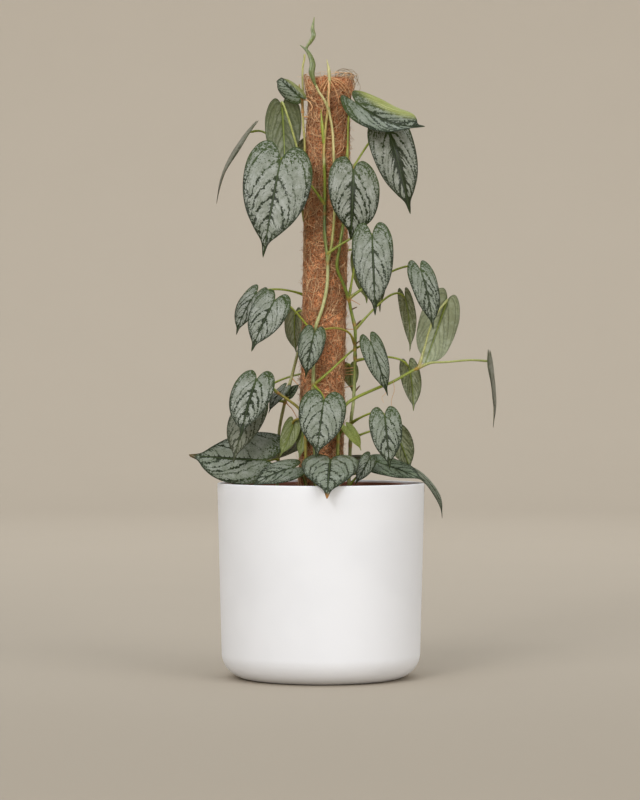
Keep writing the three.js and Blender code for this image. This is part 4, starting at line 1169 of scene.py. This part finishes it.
def threads(name, centres, radii, shades, material):
    """Many thin tubes in one mesh, from centre points of the shape [threads, points, 3]."""
    number, count = centres.shape[:2]
    ahead = unit(np.gradient(centres, axis=1))
    outward = centres * [1, 1, 0]
    outward[..., 0] -= pole_centre(centres[..., 2])
    side = unit(np.cross(ahead, outward) + 1e-6)
    up = np.cross(side, ahead)
    angle = circle(THREAD_SIDES)
    ring = side[:, :, None] * np.cos(angle)[:, None] + up[:, :, None] * np.sin(angle)[:, None]
    points = centres[:, :, None] + ring * radii[:, :, None, None]
    each = count * THREAD_SIDES
    start = (np.arange(number) * each)[:, None]
    quads = (rings(count, THREAD_SIDES)[:, ::-1] + start[:, None]).reshape(-1, 4)
    order = np.arange(THREAD_SIDES)
    coat = np.repeat(shades, each)[:, None] * np.array([1, 0, 0])
    faces = [quads, order + start, order[::-1] + each - THREAD_SIDES + start]
    make(name, [part(points.reshape(-1, 3), faces, coat=coat)], [material], sharp=180)


def matted(number, low, length, lift, flare):
    """Threads that wander over the pole's side. `lift` is how far they stand off it, and `flare` how far
    their loose ends do."""
    angle = rng.uniform(0, math.tau, number)
    height = rng.uniform(low, POLE_TOP, number)
    heading = rng.uniform(0, math.tau, number)
    curl = rng.normal(0, 0.035, number)
    stride = rng.uniform(*length, number) / (THREAD_STEPS - 1)
    rise = rng.uniform(*lift, number)
    loose = rng.uniform(*flare, number)
    centres = np.zeros((number, THREAD_STEPS, 3))
    for k in range(THREAD_STEPS):
        t = k / (THREAD_STEPS - 1)
        z = np.clip(height, SOIL_EDGE_HEIGHT, POLE_TOP + 4)
        radius = pole_radius(z) + 0.15 + rise * math.sin(math.pi * t) + loose * t ** 2.2
        centres[:, k] = np.stack([radius * np.cos(angle), radius * np.sin(angle), z], axis=1)
        angle = angle + np.cos(heading) * stride / POLE_RADIUS
        height = height + np.sin(heading) * stride
        heading = heading + curl * stride + rng.normal(0, 0.18, number)
    centres[..., 0] += pole_centre(centres[..., 2])
    return centres


def thinned(threads_made, radius, end):
    """Radii of threads that thin out to the share `end` at their loose ends, each thread's own."""
    number, count = threads_made.shape[:2]
    return radius * np.linspace(1, end, count) * rng.uniform(0.7, 1.2, (number, 1))


fibre_material = fibre_skin("coir_fibre", (130, 64, 28), (255, 216, 168))
mat = matted(FIBRE_COUNT, 176, length=(9, 34), lift=(-0.5, 1.5), flare=(0, 0.6))
stout = np.where(rng.uniform(0, 1, len(mat)) < 0.4, 2.3, 1.0)
radii = np.full(mat.shape[:2], 0.15) * (stout * rng.uniform(0.7, 1.3, len(mat)))[:, None]
threads("coir_fibres", mat, radii, np.clip(rng.uniform(0, 1, len(mat)) ** 1.3 + 0.25 * (stout > 1), 0, 1),
        fibre_material)
whiskers = matted(WHISKER_COUNT, 186, length=(4, 15), lift=(0.2, 1.6), flare=(1.5, 6.0))
threads("coir_whiskers", whiskers, thinned(whiskers, 0.25, 0.45), rng.uniform(0, 0.8, len(whiskers)),
        fibre_material)

# Frayed top: tufts and a few long curls at its right

tufts = []
for i in range(TUFT_COUNT):
    angle = rng.uniform(0, math.tau)
    radius = POLE_HEAD_RADIUS * math.sqrt(rng.uniform(0, 1)) * 0.97
    start = np.array([radius * math.cos(angle) + pole_centre(POLE_TOP), radius * math.sin(angle),
                      POLE_TOP - 1.5])
    lean = rng.normal(0, 0.75, 2) + 0.5 * start[:2] / POLE_HEAD_RADIUS
    reach = rng.uniform(2, 8)
    t = np.linspace(0, 1, THREAD_STEPS)[:, None]
    bend = rng.normal(0, 1.0, 3) * [1, 1, 0.5]
    tufts.append(start + t * reach * np.array([*lean, 0.75]) + (t ** 2) * bend * 2 - (t ** 2) * [0, 0, 2.2])
tufts = np.array(tufts)
threads("coir_tufts", tufts, thinned(tufts, 0.14, 0.5), rng.uniform(0.1, 1, len(tufts)), fibre_material)

curls = []
for i in range(CURL_COUNT):
    middle = np.array([rng.uniform(23, 28), rng.uniform(-16, 0), rng.uniform(625, 631)])
    radius = rng.uniform(8, 13)
    first, turn = rng.uniform(2.6, 4.2), -rng.uniform(2.4, 4.6)
    tilt = rng.uniform(-0.5, 0.5)
    a = first + turn * np.linspace(0, 1, CURL_POINTS)
    wobble = 1 + 0.12 * np.sin(3 * a + i)
    curls.append(middle + np.stack([radius * np.cos(a) * wobble, radius * np.sin(tilt) * np.cos(a + i),
                                    radius * np.sin(a) * wobble * 0.9], axis=1))
curls = np.array(curls)
threads("coir_curls", curls, np.full(curls.shape[:2], 0.2), rng.uniform(0.1, 0.9, len(curls)),
        fibre_skin("wiry_fibre", (96, 76, 48), (176, 154, 112)))

# Aerial roots on the pole and hanging threads of root

def root(points, first, last, count=18):
    """A tube on a smooth path that thins out from its first radius to its last."""
    path = spaced(spline(points), count)
    return tube(path, np.linspace(first, last, count + 1), ROOT_SIDES, coat=(rng.uniform(0.2, 0.9), 0, 0))


roots = [
    root([[8, -26, 631], [4, -26, 625], [-2, -25, 617], [-5, -23.5, 613]], 0.7, 0.4),
    root([[9, -27, 631], [17, -26, 629], [27, -20, 622], [35, -10, 611]], 0.75, 0.4),
    root([[8, -27, 630], [20, -24, 625], [29, -17, 613], [32, -11, 603]], 0.65, 0.35),
    root([[9, -26, 622], [12, -25.6, 617], [19, -21, 621], [23, -17, 621]], 0.6, 0.3),
    root([[-19, -6, 610], [-13, -20, 607], [-9, -22.5, 600], [-12, -21, 596]], 0.8, 0.5),
    root([[-19, -6, 613], [-12, -20.5, 611], [-7, -23, 606], [-3, -24, 611]], 0.7, 0.4),
    root([[7.5, -27.6, 628], [8.5, -28.6, 618], [8, -28.4, 609], [9, -28, 600]], 0.95, 0.8),
    root([[9, -27, 631], [15, -27, 625], [22, -23, 619], [26, -18, 616]], 0.5, 0.3),
    root([[8, -27, 630], [13, -28, 622], [18, -24.5, 611], [19, -22, 603]], 0.5, 0.3),
    root([[8, -27, 631], [2, -28, 624], [-3, -24, 616], [-8, -21, 614]], 0.5, 0.3),
    root([[8, -27, 629], [3, -27.5, 618], [1, -24, 606], [4, -22.5, 597]], 0.45, 0.25),
    root([[76, -19, 313], [77, -20, 303], [74, -20, 292], [76, -21, 277]], 0.28, 0.15),
    root([[69, -20, 310], [68, -22, 300], [64, -22, 296], [66, -22, 290]], 0.28, 0.15),
    root([[29, -13, 400], [36, -20, 396], [41, -24, 393]], 0.5, 0.25),
    root([[-36, -5, 299], [-36, -13, 290], [-30, -20, 283], [-25, -22, 274]], 0.7, 0.4),
    root([[-31, -4, 317], [-27, -7, 312], [-21, -12, 306]], 0.6, 0.3),
]
for stem, low, high, number in (("stem_front", 230, 590, 26), ("stem_right", 300, 540, 18),
                                ("stem_left", 340, 600, 18), ("stem_back", 220, 580, 26)):
    path = courses[stem][1]
    inside = path[(path[:, 2] > low) & (path[:, 2] < high)]
    for start in inside[rng.integers(0, len(inside), number)]:
        middle = np.array([pole_centre(start[2]), 0, start[2]])
        away = unit(start - middle)
        turn = np.array([-away[1], away[0], 0]) * rng.choice([-1, 1])
        reach = rng.uniform(4, 12)
        drop = rng.uniform(-5, 3)
        on = middle + unit(away + turn * reach / 26) * (POLE_RADIUS + 0.7) + [0, 0, drop * 0.5]
        far = middle + unit(away + turn * reach / 13) * (POLE_RADIUS + 0.3) + [0, 0, drop]
        roots.append(root([start, (start + on) / 2 + away * 0.4, on, far], 0.55, 0.28, 8))
make("aerial_roots", roots, [fibre_skin("root_skin", (158, 98, 56), (240, 198, 146))])

# Soil with crumbs

grow_bottom = POT_WALL + GAP
soil_bottom = grow_bottom + GROW_WALL + GAP
foot = GROW_FOOT_RADIUS - GROW_WALL - 2 * GAP
collar_bottom = GROW_RIM_HEIGHT - GROW_COLLAR_HEIGHT
grow_taper = (GROW_BODY_RADIUS - GROW_FOOT_RADIUS) / (collar_bottom - grow_bottom)
soil_radius = foot + grow_taper * (SOIL_EDGE_HEIGHT - soil_bottom)


def soil_height(radius):
    """How high the mounded soil is at a distance from the pot's middle."""
    return np.interp(radius, [0, 0.6 * soil_radius, soil_radius],
                     [SOIL_EDGE_HEIGHT + SOIL_MOUND, SOIL_EDGE_HEIGHT + 0.6 * SOIL_MOUND, SOIL_EDGE_HEIGHT])


radii = np.linspace(soil_radius, 1.6, SOIL_ROWS)
profile = [[0, soil_bottom], [foot, soil_bottom]]
profile += [[r, soil_height(r)] for r in radii] + [[0, soil_height(0)]]
points, faces = turned(profile, SOIL_SIDES)
for p in points:
    if p[2] > SOIL_EDGE_HEIGHT - 1:
        lumps = noise.noise(Vector(p) / 9) + 0.7 * noise.noise(Vector(p) / 3.5)
        p[2] += 1.5 * lumps * min(1, (soil_radius - math.hypot(p[0], p[1])) / 3 + 0.1) - 0.4
soil_parts = [part(points, faces)]

# An icosahedron, the shape that each crumb starts from
ICO = (1 + 5 ** 0.5) / 2
ICO_POINTS = unit(np.array([[-1, ICO, 0], [1, ICO, 0], [-1, -ICO, 0], [1, -ICO, 0],
                            [0, -1, ICO], [0, 1, ICO], [0, -1, -ICO], [0, 1, -ICO],
                            [ICO, 0, -1], [ICO, 0, 1], [-ICO, 0, -1], [-ICO, 0, 1]]))
ICO_FACES = np.array([[0, 11, 5], [0, 5, 1], [0, 1, 7], [0, 7, 10], [0, 10, 11], [1, 5, 9], [5, 11, 4],
                      [11, 10, 2], [10, 7, 6], [7, 1, 8], [3, 9, 4], [3, 4, 2], [3, 2, 6], [3, 6, 8],
                      [3, 8, 9], [4, 9, 5], [2, 4, 11], [6, 2, 10], [8, 6, 7], [9, 8, 1]])
for i in range(CRUMB_COUNT):
    angle = rng.uniform(0, math.tau)
    radius = (soil_radius - 3) * math.sqrt(rng.uniform(0.02, 1))
    size = rng.uniform(0.7, 1.6) if i % 9 else rng.uniform(1.8, 3.4)
    lump = ICO_POINTS * rng.uniform(0.65, 1.25, (12, 1)) * rng.uniform(0.6, 1.3, 3) * size
    height = soil_height(radius) + 0.15 * size
    soil_parts.append(part(lump + [radius * math.cos(angle), radius * math.sin(angle), height], [ICO_FACES]))
make("soil_crumbs", soil_parts, [earth_skin()], ["soil"], sharp=40)

# Pots

foot_round = POT_LOW_RADIUS - POT_FOOT_RADIUS
outer = arc(POT_FOOT_RADIUS, foot_round, foot_round, -90, 0, 22)
inner = arc(POT_FOOT_RADIUS, foot_round, foot_round - POT_WALL, 0, -90, 14)
slope = np.linspace(0, 1, 12)[1:-1]
low_outer, low_inner = np.array(outer[-1]), np.array(inner[0])
rim_height = POT_HEIGHT - POT_RIM_ROUND
high_outer = np.array([POT_RIM_RADIUS, rim_height])
high_inner = np.array([POT_RIM_RADIUS - POT_WALL, rim_height])
rim_outer = arc(POT_RIM_RADIUS - POT_RIM_ROUND, rim_height, POT_RIM_ROUND, 0, 90, 6)
rim_inner = arc(POT_RIM_RADIUS - POT_WALL + POT_RIM_ROUND, rim_height, POT_RIM_ROUND, 90, 180, 6)
profile = [[0, 0], *outer, *[list(low_outer + s * (high_outer - low_outer)) for s in slope], *rim_outer,
           *rim_inner, *[list(high_inner + s * (low_inner - high_inner)) for s in slope], *inner,
           [0, POT_WALL]]
points, faces = turned(profile, POT_SIDES)
make("cover_pot_shell", [part(points, faces)], [white_pot_skin()], ["cover_pot"])

rim_inside = GROW_RIM_RADIUS - GROW_WALL
floor_top = grow_bottom + GROW_WALL
profile = [[0, grow_bottom], [GROW_FOOT_RADIUS - 1, grow_bottom], [GROW_FOOT_RADIUS, grow_bottom + 1],
           [GROW_BODY_RADIUS, collar_bottom], [GROW_RIM_RADIUS - GROW_EDGE, collar_bottom],
           [GROW_RIM_RADIUS, collar_bottom + GROW_EDGE], [GROW_RIM_RADIUS, GROW_RIM_HEIGHT - GROW_EDGE],
           [GROW_RIM_RADIUS - 0.4, GROW_RIM_HEIGHT], [rim_inside + 0.4, GROW_RIM_HEIGHT],
           [rim_inside, GROW_RIM_HEIGHT - GROW_EDGE], [rim_inside, collar_bottom + GROW_WALL],
           [GROW_BODY_RADIUS - GROW_WALL, collar_bottom + GROW_WALL - 0.6],
           [GROW_FOOT_RADIUS - GROW_WALL, floor_top], [0, floor_top]]
points, faces = turned(profile, GROW_POT_SIDES)
grow_pot = make("grow_pot_shell", [part(points, faces)], [brown_pot_skin()], ["grow_pot"])


def drill(piece, angle):
    """Cuts one drainage hole through a pot's floor."""
    low, high = grow_bottom - 1, floor_top + 1
    points, faces = turned([[0, low], [DRAIN_HOLE_RADIUS, low], [DRAIN_HOLE_RADIUS, high], [0, high]],
                           DRILL_SIDES)
    points = (points + [DRAIN_HOLE_CIRCLE * math.cos(angle), DRAIN_HOLE_CIRCLE * math.sin(angle), 0]) * MM
    bit = add_object("drill", add_mesh("drill", points, [row for block in faces for row in block.tolist()]))
    cut = piece.modifiers.new("hole", "BOOLEAN")
    cut.operation = "DIFFERENCE"
    cut.solver = "MANIFOLD"
    cut.object = bit
    ready = piece.evaluated_get(bpy.context.evaluated_depsgraph_get())
    piece.data = bpy.data.meshes.new_from_object(ready)
    piece.modifiers.clear()
    bpy.data.objects.remove(bit)


for k in range(DRAIN_HOLE_COUNT):
    drill(grow_pot, math.tau * k / DRAIN_HOLE_COUNT)
grow_pot.data.set_sharp_from_angle(angle=math.radians(SHARP_ANGLE))

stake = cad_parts["stake"]
stake.data.materials.clear()
stake.data.materials.append(wood_skin())

# Stage: a wide dish with a flat middle, which rises softly on all sides. From here on sizes are in metres.

STAGE_FLAT_RADIUS = 4.2
STAGE_ROUND = 2.6
profile = [[r, 0] for r in (0.3, 0.8, 1.6, 2.8, STAGE_FLAT_RADIUS)]
profile += arc(STAGE_FLAT_RADIUS, STAGE_ROUND, STAGE_ROUND, -87, -3, 24) + [[6.8, 7.0]]
faces = rings(len(profile), STAGE_SIDES)[:, ::-1].tolist() + [list(range(STAGE_SIDES))]
dish = add_mesh("stage_dish", spun(profile, STAGE_SIDES), faces)
dish.polygons.foreach_set("use_smooth", [True] * len(faces))
dish.materials.append(stage_skin())
floor = add_object("stage_dish", dish)
floor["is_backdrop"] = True


def softbox(name, place, target, width, height, power):
    lamp = bpy.data.lights.new(name, "AREA")
    lamp.shape = "RECTANGLE"
    lamp.size = width
    lamp.size_y = height
    lamp.energy = power
    box = add_object(name, lamp)
    box.location = place
    box.rotation_euler = (Vector(target) - Vector(place)).to_track_quat("-Z", "Y").to_euler()
    box.visible_camera = False


PLANT_MIDDLE = (0, 0, 0.35)
softbox("key_light", (-2.8, -5, 2.8), PLANT_MIDDLE, width=4, height=4, power=184)
softbox("glint_light", (-1.7, -3.8, 2.6), PLANT_MIDDLE, width=0.55, height=0.55, power=24)
softbox("fill_light", (3.8, -4.2, 1.9), PLANT_MIDDLE, width=3.6, height=3.6, power=152)
softbox("wall_light", (0, 2.2, 3.6), (0, 6.5, 0.6), width=4, height=1.2, power=70)

world = bpy.data.worlds.new("studio")
world.use_nodes = True
sky = world.node_tree.nodes["Background"].inputs
sky["Color"].default_value = (0.9, 0.955, 1.0, 1)
sky["Strength"].default_value = 1.27
bpy.context.scene.world = world
bpy.context.scene.view_settings.view_transform = "Standard"

eye = bpy.data.cameras.new("photo_camera")
eye.lens = 119.1
eye.sensor_width = 36
eye.clip_end = 40
camera = add_object("photo_camera", eye)
camera.location = (-0.001, -2.8, 0.293)
camera.rotation_euler = (math.radians(90), 0, 0)
bpy.context.scene.camera = camera

low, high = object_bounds()
